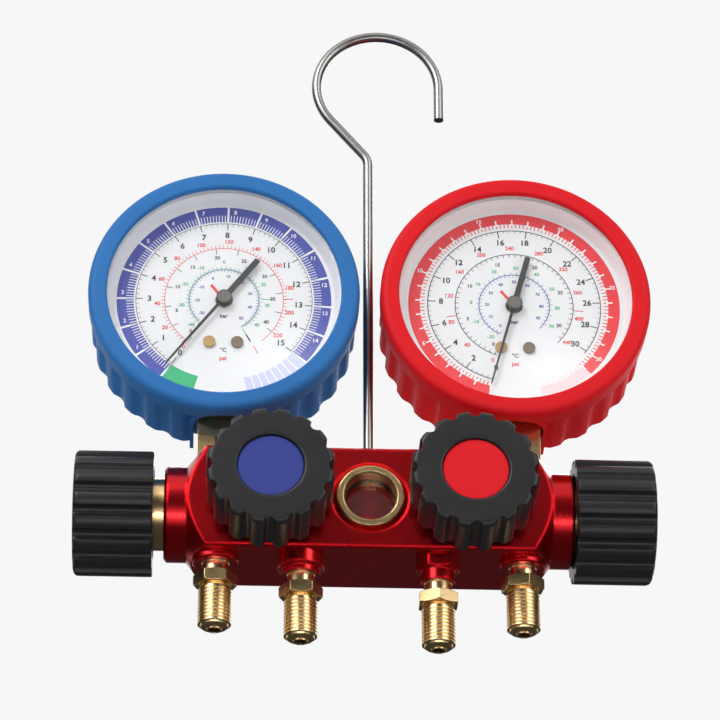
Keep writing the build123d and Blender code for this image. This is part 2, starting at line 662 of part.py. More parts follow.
def boot():
    """Rubber boot: rounded front lip, smooth band, fluted side and a rimmed notch for the stem."""
    inside, side = CASE_RADIUS + CLEARANCE, BOOT_RADIUS - BOOT_BAND_RISE
    band, lip = BOOT_FRONT - BOOT_BAND, CASE_RADIUS - BOOT_LIP_REACH
    rear_opening = CASE_RADIUS - BOOT_REAR_REACH
    outline = Polyline(
        (BOOT_RADIUS - BOOT_ROUND, BOOT_FRONT),
        (lip + BOOT_LIP_EDGE, BOOT_FRONT),
        (lip, BOOT_FRONT - BOOT_LIP_EDGE),
        (lip, CASE_FRONT + CLEARANCE),
        (inside, CASE_FRONT + CLEARANCE),
        (inside, CASE_BACK - CLEARANCE),
        (rear_opening, CASE_BACK - CLEARANCE),
        (rear_opening, BOOT_REAR),
        (side - BOOT_REAR_EDGE, BOOT_REAR),
        (side, BOOT_REAR + BOOT_REAR_EDGE),
        (side, band - BOOT_BAND_SLOPE),
        (BOOT_RADIUS, band),
        (BOOT_RADIUS, BOOT_FRONT - BOOT_ROUND),
    )
    corner = RadiusArc(
        (BOOT_RADIUS, BOOT_FRONT - BOOT_ROUND),
        (BOOT_RADIUS - BOOT_ROUND, BOOT_FRONT),
        -BOOT_ROUND,
    )
    plain = revolve(Plane.XZ * make_face(outline.edges() + corner.edges()), Axis.Z)
    groove_centre = side + BOOT_FLUTE_RADIUS - BOOT_FLUTE_DEPTH
    grooves = Sketch() + PolarLocations(groove_centre, BOOT_FLUTES) * Circle(BOOT_FLUTE_RADIUS)
    cutter = Pos(0, 0, BOOT_REAR - OVERCUT) * extrude(grooves, band - BOOT_REAR)
    cutter -= boot_notch(BOOT_NOTCH_WIDTH + 2 * BOOT_NOTCH_RIM)
    return plain - cutter - boot_notch(BOOT_NOTCH_WIDTH)


def case():
    """Steel case: a drawn cup with openings for the socket and the vent plug."""
    cup = turned(
        (0, CASE_BACK),
        (CASE_RADIUS, CASE_BACK),
        (CASE_RADIUS, CASE_FRONT),
        (CASE_BORE, CASE_FRONT),
        (CASE_BORE, CASE_BACK + CASE_WALL),
        (0, CASE_BACK + CASE_WALL),
    )
    half = SOCKET_WIDTH / 2 + CASE_SLOT_GAP
    cup -= bar(-half, half, -CASE_RADIUS - OVERCUT, -CASE_RADIUS / 2, -half, half)
    plug = rod(VENT_PLUG_DIA + 2 * CLEARANCE, CASE_BACK - OVERCUT, CASE_BACK + CASE_WALL + OVERCUT)
    return cup - Pos(0, VENT_PLUG_HEIGHT, 0) * plug


def vent_plug():
    plug = rod(VENT_PLUG_DIA, CASE_BACK, CASE_BACK + CASE_WALL)
    plug += rod(VENT_PLUG_FLANGE_DIA, CASE_BACK - VENT_PLUG_FLANGE, CASE_BACK)
    return Pos(0, VENT_PLUG_HEIGHT, 0) * plug


def tube_arc(section, width, root, tip):
    """Part of a ring of rectangular section, between two clockwise angles."""
    face = Plane.XZ * Pos(TUBE_RADIUS, 0) * Rectangle(section, width)
    return Rot(0, 0, 90 - root) * revolve(face, Axis.Z, root - tip)


def socket():
    """Brass socket: threaded shank, square stem, root block and the ledge under the movement."""
    half, ledge_half = SOCKET_WIDTH / 2, SOCKET_LEDGE_WIDTH / 2
    socket_top = -TUBE_RADIUS + SOCKET_OVER_TUBE
    ledge_bottom = PLATE_BACK - SOCKET_LEDGE_THICKNESS
    body = bar(-half, half, BLOCK_TOP_IN_GAUGE, socket_top, -half, half)
    body += bar(-ledge_half, ledge_half, -TUBE_RADIUS, SOCKET_LEDGE_TOP, ledge_bottom, PLATE_BACK)
    shank_end = BLOCK_TOP_IN_GAUGE - SOCKET_SHANK_LENGTH
    upright = Pos(0, shank_end, 0) * Rot(-90, 0, 0)
    body += upright * rod(SOCKET_SHANK_DIA, 0, SOCKET_SHANK_LENGTH)
    body -= upright * rod(SOCKET_BORE, -OVERCUT, -TUBE_RADIUS - shank_end)
    slot_section, slot_width = TUBE_SECTION + 2 * CLEARANCE, TUBE_WIDTH + 2 * CLEARANCE
    return body - tube_arc(slot_section, slot_width, TUBE_ROOT_ANGLE + TUBE_SEAT_ANGLE, TUBE_SLOT_ANGLE)


def bourdon_tube():
    """Curved flat tube with its end block and the link that reaches for the sector's tail."""
    tube = tube_arc(TUBE_SECTION, TUBE_WIDTH, TUBE_ROOT_ANGLE, TUBE_TIP_ANGLE)
    x, y = at_angle(TUBE_RADIUS, TUBE_TIP_ANGLE)
    half = TIP_BLOCK / 2
    block = Pos(x, y, 0) * Rot(0, 0, -TUBE_TIP_ANGLE) * bar(-half, half, -half, half, -half, half)
    pivot = Vector(*at_angle(GEAR_CENTRES, SECTOR_PIVOT_ANGLE))
    tail = pivot.normalized() * (GEAR_CENTRES + SECTOR_TAIL)
    reach = Vector(x, y) - tail
    gap = SECTOR_TAIL_WIDTH / 2 + LINK_GAP
    bottom = SECTOR_THICKNESS + LINK_LIFT - LINK_THICKNESS / 2
    link = Rectangle(reach.length - gap, LINK_WIDTH, align=(Align.MIN, Align.CENTER))
    start = tail + reach.normalized() * gap
    angle = math.degrees(math.atan2(reach.Y, reach.X))
    return tube + block + Pos(start.X, start.Y, bottom) * Rot(0, 0, angle) * extrude(link, LINK_THICKNESS)


def pillar_places():
    """Two pillars that also carry the dial, and one above the pointer's axis."""
    left = at_angle(POST_RADIUS, 180 + POST_ANGLE)
    right = at_angle(POST_RADIUS, 180 - POST_ANGLE)
    return [left, right, (TOP_PILLAR_X, TOP_PILLAR_Y)]


def movement_plate():
    """Outline that wraps the arbor, the sector's pivot and the pillars."""
    pivot = at_angle(GEAR_CENTRES, SECTOR_PIVOT_ANGLE)
    places = [(0, 0), pivot] + pillar_places()
    circles = [CenterArc(place, PLATE_LOBE_RADIUS, 0, 360) for place in places]
    plate = make_hull([edge for circle in circles for edge in circle.edges()])
    plate -= Circle(ARBOR_DIA / 2 + CLEARANCE)
    return plate - Pos(*pivot) * Circle(SECTOR_SHAFT_DIA / 2 + CLEARANCE)


def movement_frame():
    plate = extrude(movement_plate(), PLATE_THICKNESS)
    frame = Pos(0, 0, PLATE_BACK) * plate + Pos(0, 0, PLATE_FRONT - PLATE_THICKNESS) * plate
    left, right, top = pillar_places()
    dial_back = DIAL_FACE - DIAL_THICKNESS
    for place, end in ((left, dial_back), (right, dial_back), (top, PLATE_FRONT)):
        frame += Pos(*place) * rod(PILLAR_DIA, PLATE_BACK, end)
    hole_end = DIAL_FACE - DIAL_SCREW_LENGTH - DIAL_SCREW_TIP_GAP
    for place in (left, right):
        frame -= Pos(*place) * rod(DIAL_SCREW_DIA + 2 * CLEARANCE, hole_end, dial_back + OVERCUT)
    return frame


def dial():
    disc = Circle(CASE_BORE - DIAL_MARGIN) - Circle(DIAL_BORE / 2)
    for place in pillar_places()[:2]:
        disc -= Pos(*place) * Circle(DIAL_SCREW_DIA / 2 + CLEARANCE)
    return Pos(0, 0, DIAL_FACE - DIAL_THICKNESS) * extrude(disc, DIAL_THICKNESS)


def dial_screws():
    screw = rod(DIAL_SCREW_DIA, DIAL_FACE - DIAL_SCREW_LENGTH, DIAL_FACE)
    screw += rod(DIAL_SCREW_HEAD_DIA, DIAL_FACE, DIAL_FACE + DIAL_SCREW_HEAD)
    return [Pos(*place) * screw for place in pillar_places()[:2]]


def inner_ring():
    """Conical ring that frames the dial under the lens."""
    outer = CASE_BORE - 2 * CLEARANCE
    top = CASE_FRONT - LENS_THICKNESS - 2 * CLEARANCE
    return turned(
        (CASE_BORE - INNER_RING_WIDTH, DIAL_FACE + CLEARANCE),
        (outer, DIAL_FACE + CLEARANCE),
        (outer, top),
        (CASE_BORE - INNER_RING_FRONT_WIDTH, top),
    )


def lens():
    top = CASE_FRONT - CLEARANCE
    return rod(2 * (CASE_BORE - CLEARANCE), top - LENS_THICKNESS, top)


def sector():
    """Toothed sector on its shaft, with the tail that the link drives; at the zero reading."""
    pivot = at_angle(GEAR_CENTRES, SECTOR_PIVOT_ANGLE)
    contact = math.degrees(math.atan2(-pivot[1], -pivot[0]))
    pitch = 360 / SECTOR_FULL_TEETH
    first = contact + (SECTOR_LEAD_TEETH + 0.5) * pitch - (SECTOR_TEETH - 1) * pitch
    teeth = gear_outline(SECTOR_RADIUS, SECTOR_FULL_TEETH, first, SECTOR_TEETH)
    hub = SECTOR_HUB_DIA / 2
    web = make_face(Polyline((0, 0), *teeth, close=True)) + Circle(hub)
    tail_angle = contact + 180
    tail = Rectangle(SECTOR_TAIL, SECTOR_TAIL_WIDTH, align=(Align.MIN, Align.CENTER))
    web += Rot(0, 0, tail_angle) * (tail + Pos(SECTOR_TAIL, 0) * Circle(SECTOR_TAIL_WIDTH / 2))
    shaft = rod(SECTOR_SHAFT_DIA, PLATE_BACK - SHAFT_END, PLATE_FRONT + SHAFT_END)
    sleeve = rod(SECTOR_SLEEVE_DIA, -SECTOR_THICKNESS, 2 * SECTOR_THICKNESS)
    return Pos(*pivot) * (extrude(web, SECTOR_THICKNESS) + shaft + sleeve)


def arbor():
    """Pinion arbor, from its back pivot to the pointer's hub."""
    pivot = at_angle(GEAR_CENTRES, SECTOR_PIVOT_ANGLE)
    facing = math.degrees(math.atan2(pivot[1], pivot[0]))
    teeth = gear_outline(PINION_RADIUS, PINION_TEETH, facing, PINION_TEETH)
    middle = SECTOR_THICKNESS / 2
    pinion = extrude(make_face(Polyline(*teeth, close=True)), PINION_LENGTH)
    hub_base = DIAL_FACE + POINTER_GAP
    shaft = rod(ARBOR_DIA, PLATE_BACK - SHAFT_END, hub_base + ARBOR_IN_HUB)
    return shaft + Pos(0, 0, middle - PINION_LENGTH / 2) * pinion


def pointer(rest_angle):
    hub_base = DIAL_FACE + POINTER_GAP
    arm_base = hub_base + (POINTER_HUB_LENGTH - POINTER_THICKNESS) / 2
    blade = make_face(
        Polyline(
            (-POINTER_WIDTH / 2, 0),
            (-POINTER_WIDTH / 4, POINTER_LENGTH),
            (POINTER_WIDTH / 4, POINTER_LENGTH),
            (POINTER_WIDTH / 2, 0),
            close=True,
        )
    )
    tail = Rectangle(POINTER_TAIL_WIDTH, POINTER_TAIL, align=(Align.CENTER, Align.MAX))
    arm = Pos(0, 0, arm_base) * extrude(blade + tail, POINTER_THICKNESS)
    hub = rod(POINTER_HUB_DIA, hub_base, hub_base + POINTER_HUB_LENGTH)
    seat = rod(ARBOR_DIA + 2 * CLEARANCE, hub_base - OVERCUT, hub_base + ARBOR_IN_HUB + CLEARANCE)
    return Rot(0, 0, -rest_angle) * (arm + hub) - seat


# ---------------------------------------------------------------- assembly
def build_parts():
    parts = {"manifold_block": manifold_block()}
    parts["sight_glass_ring"] = sight_ring()
    parts["sight_glass_lens"] = sight_lens()
    parts["sight_glass_gasket"] = sight_gasket()
    parts["hanging_hook"] = hanging_hook()
    parts["hook_bush"] = hook_bush()

    side_sizes = (SIDE_SHANK_LENGTH, SIDE_SEAT_DEPTH, SIDE_KNOB_LENGTH)
    front_sizes = (FRONT_SHANK_LENGTH, FRONT_SEAT_DEPTH, FRONT_KNOB_LENGTH)
    valves = {
        "low_valve": (side_valve_plane(-1), side_sizes, SIDE_OPENING_LOW),
        "high_valve": (side_valve_plane(1), side_sizes, SIDE_OPENING_HIGH),
        "vacuum_valve": (front_valve_plane(-1), front_sizes, FRONT_OPENING),
        "charging_valve": (front_valve_plane(1), front_sizes, FRONT_OPENING),
    }
    packings = []
    for name, (plane, (shank_length, seat_depth, length), opening) in valves.items():
        parts[f"{name}_bonnet"] = plane * bonnet(shank_length)
        parts[f"{name}_piston"] = plane * piston(seat_depth, opening)
        parts[f"{name}_stem"] = plane * stem(seat_depth, length, opening)
        parts[f"{name}_knob"] = plane * knob(length, opening)
        parts[f"{name}_cap"] = plane * cap(length, opening)
        packings.append(plane * packing())
    parts["stem_packings"] = Compound(children=[Part(p.wrapped) for p in packings])

    outer, inner = PORT_SPACING_OUTER / 2, PORT_SPACING_INNER / 2
    short = port_collar(COLLAR_OUTER_LENGTH)
    stepped = port_collar(COLLAR_VACUUM_LENGTH)
    hexagonal = hexagon_collar(COLLAR_CHARGE_LENGTH, CHARGE_HEX_TURN)
    ports = {
        "low_port": (-outer, PORT_Y_OUTER, short, COLLAR_OUTER_LENGTH, 0),
        "vacuum_port": (-inner, PORT_Y_INNER, stepped, COLLAR_VACUUM_LENGTH, 0),
        "charging_port": (inner, PORT_Y_INNER, hexagonal, COLLAR_CHARGE_LENGTH, CHARGE_HEX_TURN),
        "high_port": (outer, PORT_Y_OUTER, short, COLLAR_OUTER_LENGTH, HIGH_HEX_TURN),
    }
    for name, (x, y, collar, collar_length, turn) in ports.items():
        parts[f"{name}_collar"] = port_plane(x, y) * collar
        parts[f"{name}_fitting"] = port_plane(x, y) * flare_port(collar_length, turn)

    screws, plugs = [], []
    for name, side, rest_angle in (("low", -1, LOW_POINTER_ANGLE), ("high", 1, HIGH_POINTER_ANGLE)):
        plane = gauge_plane(side)
        pieces = {
            "boot": boot(),
            "case": case(),
            "socket": socket(),
            "bourdon_tube": bourdon_tube(),
            "movement_frame": movement_frame(),
            "sector": sector(),
            "arbor": arbor(),
            "dial": dial(),
            "pointer": pointer(rest_angle),
            "inner_ring": inner_ring(),
            "lens": lens(),
        }
        for piece, shape in pieces.items():
            parts[f"{name}_gauge_{piece}"] = plane * shape
        screws += [plane * screw for screw in dial_screws()]
        plugs.append(plane * vent_plug())
    parts["dial_screws"] = Compound(children=[Part(s.wrapped) for s in screws])
    parts["vent_plugs"] = Compound(children=[Part(p.wrapped) for p in plugs])
    return parts


def write(parts):
    os.makedirs(OUT_DIR, exist_ok=True)
    for name, shape in parts.items():
        placed = shape.moved(Location(-HANGING_POINT))
        export_step(placed, os.path.join(OUT_DIR, f"{name}.step"))


write(build_parts())
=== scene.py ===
"""Finishes and detail pieces for a refrigerant manifold gauge, laid out as an add-on."""

import json
import math

import bmesh
import bpy
from mathutils import Matrix, Vector


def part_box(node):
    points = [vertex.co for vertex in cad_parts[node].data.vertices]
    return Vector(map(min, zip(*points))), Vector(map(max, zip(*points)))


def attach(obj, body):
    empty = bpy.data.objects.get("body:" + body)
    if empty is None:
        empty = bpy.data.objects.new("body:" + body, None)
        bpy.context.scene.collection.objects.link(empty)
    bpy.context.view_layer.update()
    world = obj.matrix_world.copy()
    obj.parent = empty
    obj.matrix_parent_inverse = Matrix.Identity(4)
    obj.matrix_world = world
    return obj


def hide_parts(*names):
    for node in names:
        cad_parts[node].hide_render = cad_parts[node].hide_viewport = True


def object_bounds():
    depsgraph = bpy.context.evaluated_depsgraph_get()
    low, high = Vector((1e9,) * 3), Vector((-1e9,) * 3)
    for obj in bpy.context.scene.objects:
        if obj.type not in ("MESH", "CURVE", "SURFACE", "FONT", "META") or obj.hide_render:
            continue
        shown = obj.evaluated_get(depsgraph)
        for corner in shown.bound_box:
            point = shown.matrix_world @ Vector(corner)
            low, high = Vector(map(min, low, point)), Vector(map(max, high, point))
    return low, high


bl_info = {
    "name": "Refrigerant Manifold Gauge",
    "version": (1, 0, 0),
    "blender": (4, 5, 0),
    "location": "View3D > Sidebar > Manifold",
    "description": "Models and finishes the boots, wheels, ports and dials of a refrigerant manifold gauge",
    "category": "Object",
}

MM = 0.001

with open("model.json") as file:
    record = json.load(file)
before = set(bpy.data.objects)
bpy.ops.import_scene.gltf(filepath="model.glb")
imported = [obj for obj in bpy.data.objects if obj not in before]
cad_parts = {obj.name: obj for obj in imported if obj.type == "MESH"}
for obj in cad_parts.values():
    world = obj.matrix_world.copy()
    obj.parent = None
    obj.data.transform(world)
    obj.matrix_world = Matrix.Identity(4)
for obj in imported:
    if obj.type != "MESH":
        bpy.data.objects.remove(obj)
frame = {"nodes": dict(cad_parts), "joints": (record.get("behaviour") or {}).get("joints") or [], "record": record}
CAD_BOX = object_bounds()
JOINTS = {joint["name"]: joint for joint in frame["joints"]}
MOUNTS = {mount["name"]: mount for mount in frame["record"]["mounts"]}
GAUGES = ("low", "high")
VALVES = ("low", "high", "vacuum", "charging")
PORTS = ("low", "vacuum", "charging", "high")
RIGHT, UP, FRONT, DOWN = Vector((1, 0, 0)), Vector((0, 0, 1)), Vector((0, -1, 0)), Vector((0, 0, -1))

PHASES = 16          # vertices from one groove to the next
BOOT_FLUTES = 28
WHEEL_FLUTES = 16
PORT_TURNS = {"low": 0.0, "vacuum": 0.0, "charging": 30.0, "high": 17.0}          # degrees of each hexagon
INK_LEVELS = {"white_ink": 2, "black_ink": 1}          # layers of print below; other inks lie on the dial
FIGURE_SHARE = 0.86          # main figures as drawn, of the height given


# ---------------- sizes and colours a user would change
def length(name, text, default, low=0.0):
    """A size property, in metres from a default in millimetres."""
    return bpy.props.FloatProperty(
        name=name, description=text, default=default * MM, min=low, unit="LENGTH", precision=5
    )


def colour(name, text, default):
    """A colour property, in linear values."""
    return bpy.props.FloatVectorProperty(
        name=name, description=text, default=default, size=3, min=0.0, max=1.0, subtype="COLOR"
    )


class ManifoldColours(bpy.types.PropertyGroup):
    """Colours of the finishes."""

    block: colour("Anodised block", "Red dye of the anodised aluminium", (0.58, 0.004, 0.009))
    brass: colour("Brass", "Turned brass of the ports, bonnets and sockets", (0.87, 0.62, 0.31))
    low_boot: colour("Low side boot", "Blue rubber", (0.036, 0.205, 0.56))
    high_boot: colour("High side boot", "Red rubber", (0.88, 0.010, 0.018))
    wheel: colour("Hand wheels", "Black moulded plastic", (0.016, 0.016, 0.018))
    blue_cap: colour("Blue cap", "Inlay of the vacuum valve", (0.044, 0.064, 0.33))
    red_cap: colour("Red cap", "Inlay of the charging valve", (0.88, 0.008, 0.016))
    wire: colour("Hook", "Plated wire", (0.31, 0.298, 0.288))
    dial: colour("Dial", "White enamel", (0.76, 0.763, 0.77))
    blue_print: colour("Blue print", "Low side band", (0.036, 0.052, 0.36))
    red_print: colour("Red print", "High side band and figures", (0.78, 0.012, 0.020))
    green_print: colour("Green print", "Vacuum zone and figures", (0.010, 0.42, 0.16))
    black_print: colour("Black print", "Main figures and ticks", (0.015, 0.015, 0.018))
    lilac_print: colour("Pale print", "Retard zone of the low side", (0.55, 0.56, 0.80))
    rose_print: colour("Rose print", "Retard zone of the high side", (0.90, 0.60, 0.62))


class ManifoldSizes(bpy.types.PropertyGroup):
    """Sizes of the modelled detail."""

    lip_round: length("Boot lip rounding", "Radius of the boot's front edge", 2.6)
    band: length("Boot band", "Depth of the smooth band behind the lip", 8.5)
    boot_flute: length("Boot flute depth", "Depth of the grooves in the boot's side", 1.6)
    boot_groove: length("Boot groove radius", "Radius of the boot's grooves", 4.0)
    notch_rim: length("Notch rim", "Width of the moulded rim round the stem's notch", 1.3)
    wheel_flute: length("Hand wheel flute depth", "Depth of the grooves in a hand wheel", 2.3)
    wheel_groove: length("Hand wheel groove radius", "Radius of a hand wheel's grooves", 1.95)
    wheel_round: length("Hand wheel rounding", "Radius of a hand wheel's outer edge", 1.9)
    thread_pitch: length("Flare thread pitch", "Twenty threads to the inch", 1.27)
    thread_depth: length("Flare thread depth", "Crest to root on the radius", 0.35)
    hexagon: length("Hexagon height", "Height of the flare ports' hexagons", 4.3)
    print_thickness: length("Print thickness", "Ink on the dial", 0.03)
    figure_height: length("Figure height", "Main figures on the dial", 2.5)


def colours():
    return bpy.context.scene.manifold_colours


def sizes():
    return bpy.context.scene.manifold_sizes


# ---------------- modelling by hand, in code
def deselect():
    bpy.ops.object.select_all(action="DESELECT")


def alone(piece):
    """Makes one piece the only selected one, and the active one."""
    deselect()
    piece.select_set(True)
    bpy.context.view_layer.objects.active = piece


def edit(piece):
    """Opens one piece alone in edit mode."""
    if bpy.context.mode != "OBJECT":
        bpy.ops.object.mode_set(mode="OBJECT")
    alone(piece)
    bpy.ops.object.mode_set(mode="EDIT")


def pick(piece, test, kind="verts"):
    """Selects what passes a test in the open mesh, among vertices, edges or faces, and counts it."""
    mesh = bmesh.from_edit_mesh(piece.data)
    bpy.context.tool_settings.mesh_select_mode = (kind == "verts", kind == "edges", kind == "faces")
    for group in (mesh.faces, mesh.edges, mesh.verts):
        for item in group:
            item.select = False
    found = 0
    for item in getattr(mesh, kind):
        place = item.co if kind == "verts" else (
            item.calc_center_median() if kind == "faces" else (item.verts[0].co + item.verts[1].co) / 2
        )
        if test(place, item):
            item.select = True
            found += 1
    mesh.select_flush_mode()
    bmesh.update_edit_mesh(piece.data)
    return found


def close_up(piece):
    """Merges doubles, turns the faces outwards and leaves edit mode."""
    bpy.ops.mesh.select_all(action="SELECT")
    bpy.ops.mesh.remove_doubles(threshold=2e-6)
    bpy.ops.mesh.normals_make_consistent(inside=False)
    bpy.ops.object.mode_set(mode="OBJECT")
    return piece


def turned(name, outline, steps, closed=True, sweep=2 * math.pi):
    """Lathe work: one vertex is drawn through (radius, height) points and spun about Z."""
    deselect()
    bpy.context.tool_settings.mesh_select_mode = (True, False, False)
    bpy.ops.mesh.primitive_plane_add(size=MM, location=(0, 0, 0))
    piece = bpy.context.object
    piece.name = name
    bpy.ops.object.mode_set(mode="EDIT")
    bpy.ops.mesh.select_all(action="SELECT")
    bpy.ops.mesh.merge(type="CENTER")
    here = Vector((0, 0, 0))
    for index, (radius, height) in enumerate(outline):
        there = Vector((radius, 0, height))
        if index == 0:
            bpy.ops.transform.translate(value=there)
        else:
            bpy.ops.mesh.extrude_region_move(TRANSFORM_OT_translate={"value": there - here})
        here = there
    if closed:
        ends = (Vector((outline[0][0], 0, outline[0][1])), here)
        if pick(piece, lambda place, item: min((place - end).length for end in ends) < 1e-7) < 2:
            raise RuntimeError(f"{name}: the ends of the outline were not found")
        bpy.ops.mesh.edge_face_add()
    bpy.ops.mesh.select_all(action="SELECT")
    bpy.ops.mesh.spin(steps=steps, angle=sweep, center=(0, 0, 0), axis=(0, 0, 1), use_auto_merge=True)
    return close_up(piece)


def rounded(centre, radius, start, end, steps=5):
    """Points of an arc in a turned outline, between two angles in degrees."""
    angles = [math.radians(start + (end - start) * i / steps) for i in range(steps + 1)]
    return [(centre[0] + radius * math.cos(a), centre[1] + radius * math.sin(a)) for a in angles]


def fluted(radius, count, depth, groove, crown):
    """Fluted side: round-bottomed grooves between crowned lobes, as a radius by angle from a groove."""
    groove_centre, lobe_centre = radius - depth + groove, radius - crown

    def radius_at(offset):
        away = math.pi / count - offset
        lobe = lobe_centre * math.cos(away) + math.sqrt(crown**2 - (lobe_centre * math.sin(away)) ** 2)
        across = groove_centre * math.sin(offset)
        if across >= groove:
            return lobe
        return min(lobe, groove_centre * math.cos(offset) - math.sqrt(groove**2 - across**2))

    return radius_at


def press_in(piece, count, radius_at, test):
    """Draws a turned side in to a repeated outline: each set of matching vertices is scaled on to it."""
    sets = {}
    for vertex in piece.data.vertices:
        place = vertex.co
        if not test(place):
            continue
        turn = math.atan2(place.y, place.x) / (2 * math.pi) * count
        offset = abs(turn - round(turn)) * 2 * math.pi / count
        target, distance = radius_at(offset), place.xy.length
        if distance > target + 1e-7:
            sets.setdefault((round(offset, 5), round(distance, 6)), []).append(vertex.index)
    edit(piece)
    pick(piece, lambda place, item: False)
    for (offset, distance), indices in sets.items():
        mesh = bmesh.from_edit_mesh(piece.data)
        mesh.verts.ensure_lookup_table()
        for index in indices:
            mesh.verts[index].select = True
        factor = radius_at(offset) / distance
        bpy.ops.transform.resize(value=(factor, factor, 1), center_override=(0, 0, 0))
        bpy.ops.mesh.select_all(action="DESELECT")
    bpy.ops.object.mode_set(mode="OBJECT")


def modify(piece, kind, **values):
    """Adds one modifier, sets it and applies it."""
    alone(piece)
    bpy.ops.object.modifier_add(type=kind)
    modifier = piece.modifiers[-1]
    for key, value in values.items():
        setattr(modifier, key, value)
    bpy.ops.object.modifier_apply(modifier=modifier.name)


def cut(piece, tool, operation="DIFFERENCE"):
    """Boolean with another piece, which is used up."""
    modify(piece, "BOOLEAN", object=tool, operation=operation, solver="EXACT")
    bpy.data.objects.remove(tool)


def smooth(piece, degrees=32):
    """Shades a piece smooth but for its sharp edges, with large flat faces kept flat."""
    alone(piece)
    bpy.ops.object.shade_smooth_by_angle(angle=math.radians(degrees))
    modify(piece, "WEIGHTED_NORMAL", keep_sharp=True, weight=90)


def settle(piece, origin, right, out):
    """Stands a piece modelled about Z in its place, and leaves that place in its mesh."""
    up = out.cross(right)
    turn = Matrix((right, up, out)).transposed().to_4x4()
    piece.matrix_world = Matrix.Translation(origin) @ turn
    alone(piece)
    bpy.ops.object.transform_apply(location=True, rotation=True, scale=True)
    return piece


def finish(piece, material, body, replaces=()):
    """Gives a modelled piece its material, its body and the nodes that it stands for."""
    piece.data.materials.clear()
    piece.data.materials.append(material)
    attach(piece, body)
    if replaces:
        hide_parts(*replaces)
    return piece


def join(name, pieces):
    """Joins pieces into the first of them."""
    deselect()
    for piece in pieces:
        piece.select_set(True)
    bpy.context.view_layer.objects.active = pieces[0]
    bpy.ops.object.join()
    pieces[0].name = name
    return pieces[0]


def dress(finish_name, *nodes):
    """Puts a finish on nodes that keep their own shape."""
    for node in nodes:
        mesh = frame["nodes"][node].data
        mesh.materials.clear()
        mesh.materials.append(material(finish_name))


def hub(gauge):
    """Middle of a gauge, on its pointer's axis."""
    return Vector(JOINTS[f"{gauge}_pointer_turn"]["pos_m"])


def reach(node, origin, out):
    """How far a node's box reaches along an axis, from and to, measured from a point on it."""
    low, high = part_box(node)
    ends = sorted(((Vector(low) - origin).dot(out), (Vector(high) - origin).dot(out)))
    return ends[0], ends[1]


# ---------------- shared effects and finishes
COLOUR, VECTOR, NUMBER = "NodeSocketColor", "NodeSocketVector", "NodeSocketFloat"
EFFECTS = {}          # shared shader groups, each made when it is first used
MATERIALS = {}          # finishes, each made when it is first used


def group(name, inputs, outputs):
    """Starts a shader group with named sockets and hands back its tree, its inputs and its end node."""
    tree = bpy.data.node_groups.new(name, "ShaderNodeTree")
    for label, kind, value in inputs:
        tree.interface.new_socket(label, in_out="INPUT", socket_type=kind).default_value = value
    for label, kind in outputs:
        tree.interface.new_socket(label, in_out="OUTPUT", socket_type=kind)
    return tree, tree.nodes.new("NodeGroupInput").outputs, tree.nodes.new("NodeGroupOutput")


def feed(tree, node, links):
    """Gives a node's sockets what they take: another node's output, or a plain value."""
    for socket, value in links:
        if isinstance(value, bpy.types.NodeSocket):
            tree.links.new(value, node.inputs[socket])
        else:
            node.inputs[socket].default_value = value


def add(tree, kind, links=(), **values):
    """Adds a node, sets its attributes or sockets, and feeds (socket, source) pairs into it."""
    node = tree.nodes.new(kind)
    for key, value in values.items():
        if hasattr(node, key):
            setattr(node, key, value)
        else:
            node.inputs[key.replace("_", " ")].default_value = value
    feed(tree, node, links)
    return node


def maths(tree, operation, *values):
    """Result of a sum on outputs or plain numbers, in order."""
    return add(tree, "ShaderNodeMath", enumerate(values), operation=operation).outputs[0]


def vectors(tree, operation, *values):
    """Node for a sum on vectors, in order."""
    return add(tree, "ShaderNodeVectorMath", enumerate(values), operation=operation)


def blend(tree, factor, first, second, **values):
    """Colour between a first and a second one."""
    links = (("Factor", factor), (6, first), (7, second))
    return add(tree, "ShaderNodeMix", links, data_type="RGBA", **values).outputs[2]


def object_place(tree):
    """The object's own coordinates."""
    return add(tree, "ShaderNodeTexCoord").outputs["Object"]


def between(tree, value, low, high):
    """A value stretched to run from 0 at `low` to 1 at `high`."""
    return add(tree, "ShaderNodeMapRange", (("Value", value), ("From Min", low), ("From Max", high))).outputs[0]


def mottle_group():
    """Slow uneven shade: a colour and a roughness that wander a little over the surface."""
    tree, given, end = group(
        "Uneven shade",
        (
            ("Colour", COLOUR, (0.5, 0.5, 0.5, 1)),
            ("Shade", NUMBER, 0.15),
            ("Scale", NUMBER, 60.0),
            ("Roughness", NUMBER, 0.4),
            ("Spread", NUMBER, 0.1),
        ),
        (("Colour", COLOUR), ("Roughness", NUMBER)),
    )
    links = (("Vector", object_place(tree)), ("Scale", given["Scale"]))
    noise = add(tree, "ShaderNodeTexNoise", links, Detail=5.0, Roughness=0.6)
    wander = maths(tree, "SUBTRACT", noise.outputs["Fac"], 0.5)
    shade = maths(tree, "MULTIPLY_ADD", wander, given["Shade"], 1.0)
    tone = blend(tree, 1.0, given["Colour"], shade, blend_type="MULTIPLY")
    rough = maths(tree, "MULTIPLY_ADD", wander, given["Spread"], given["Roughness"])
    feed(tree, end, (("Colour", tone), ("Roughness", rough)))
    return tree


def grain_group():
    """Fine relief: a height from small noise, stretched along an axis by its scale vector."""
    tree, given, end = group(
        "Fine relief",
        (("Stretch", VECTOR, (1, 1, 1)), ("Scale", NUMBER, 900.0), ("Strength", NUMBER, 0.3)),
        (("Height", NUMBER),),
    )
    stretched = vectors(tree, "MULTIPLY", object_place(tree), given["Stretch"]).outputs[0]
    noise = add(tree, "ShaderNodeTexNoise", (("Vector", stretched), ("Scale", given["Scale"])), Detail=3.0)
    feed(tree, end, (("Height", maths(tree, "MULTIPLY", noise.outputs["Fac"], given["Strength"])),))
    return tree


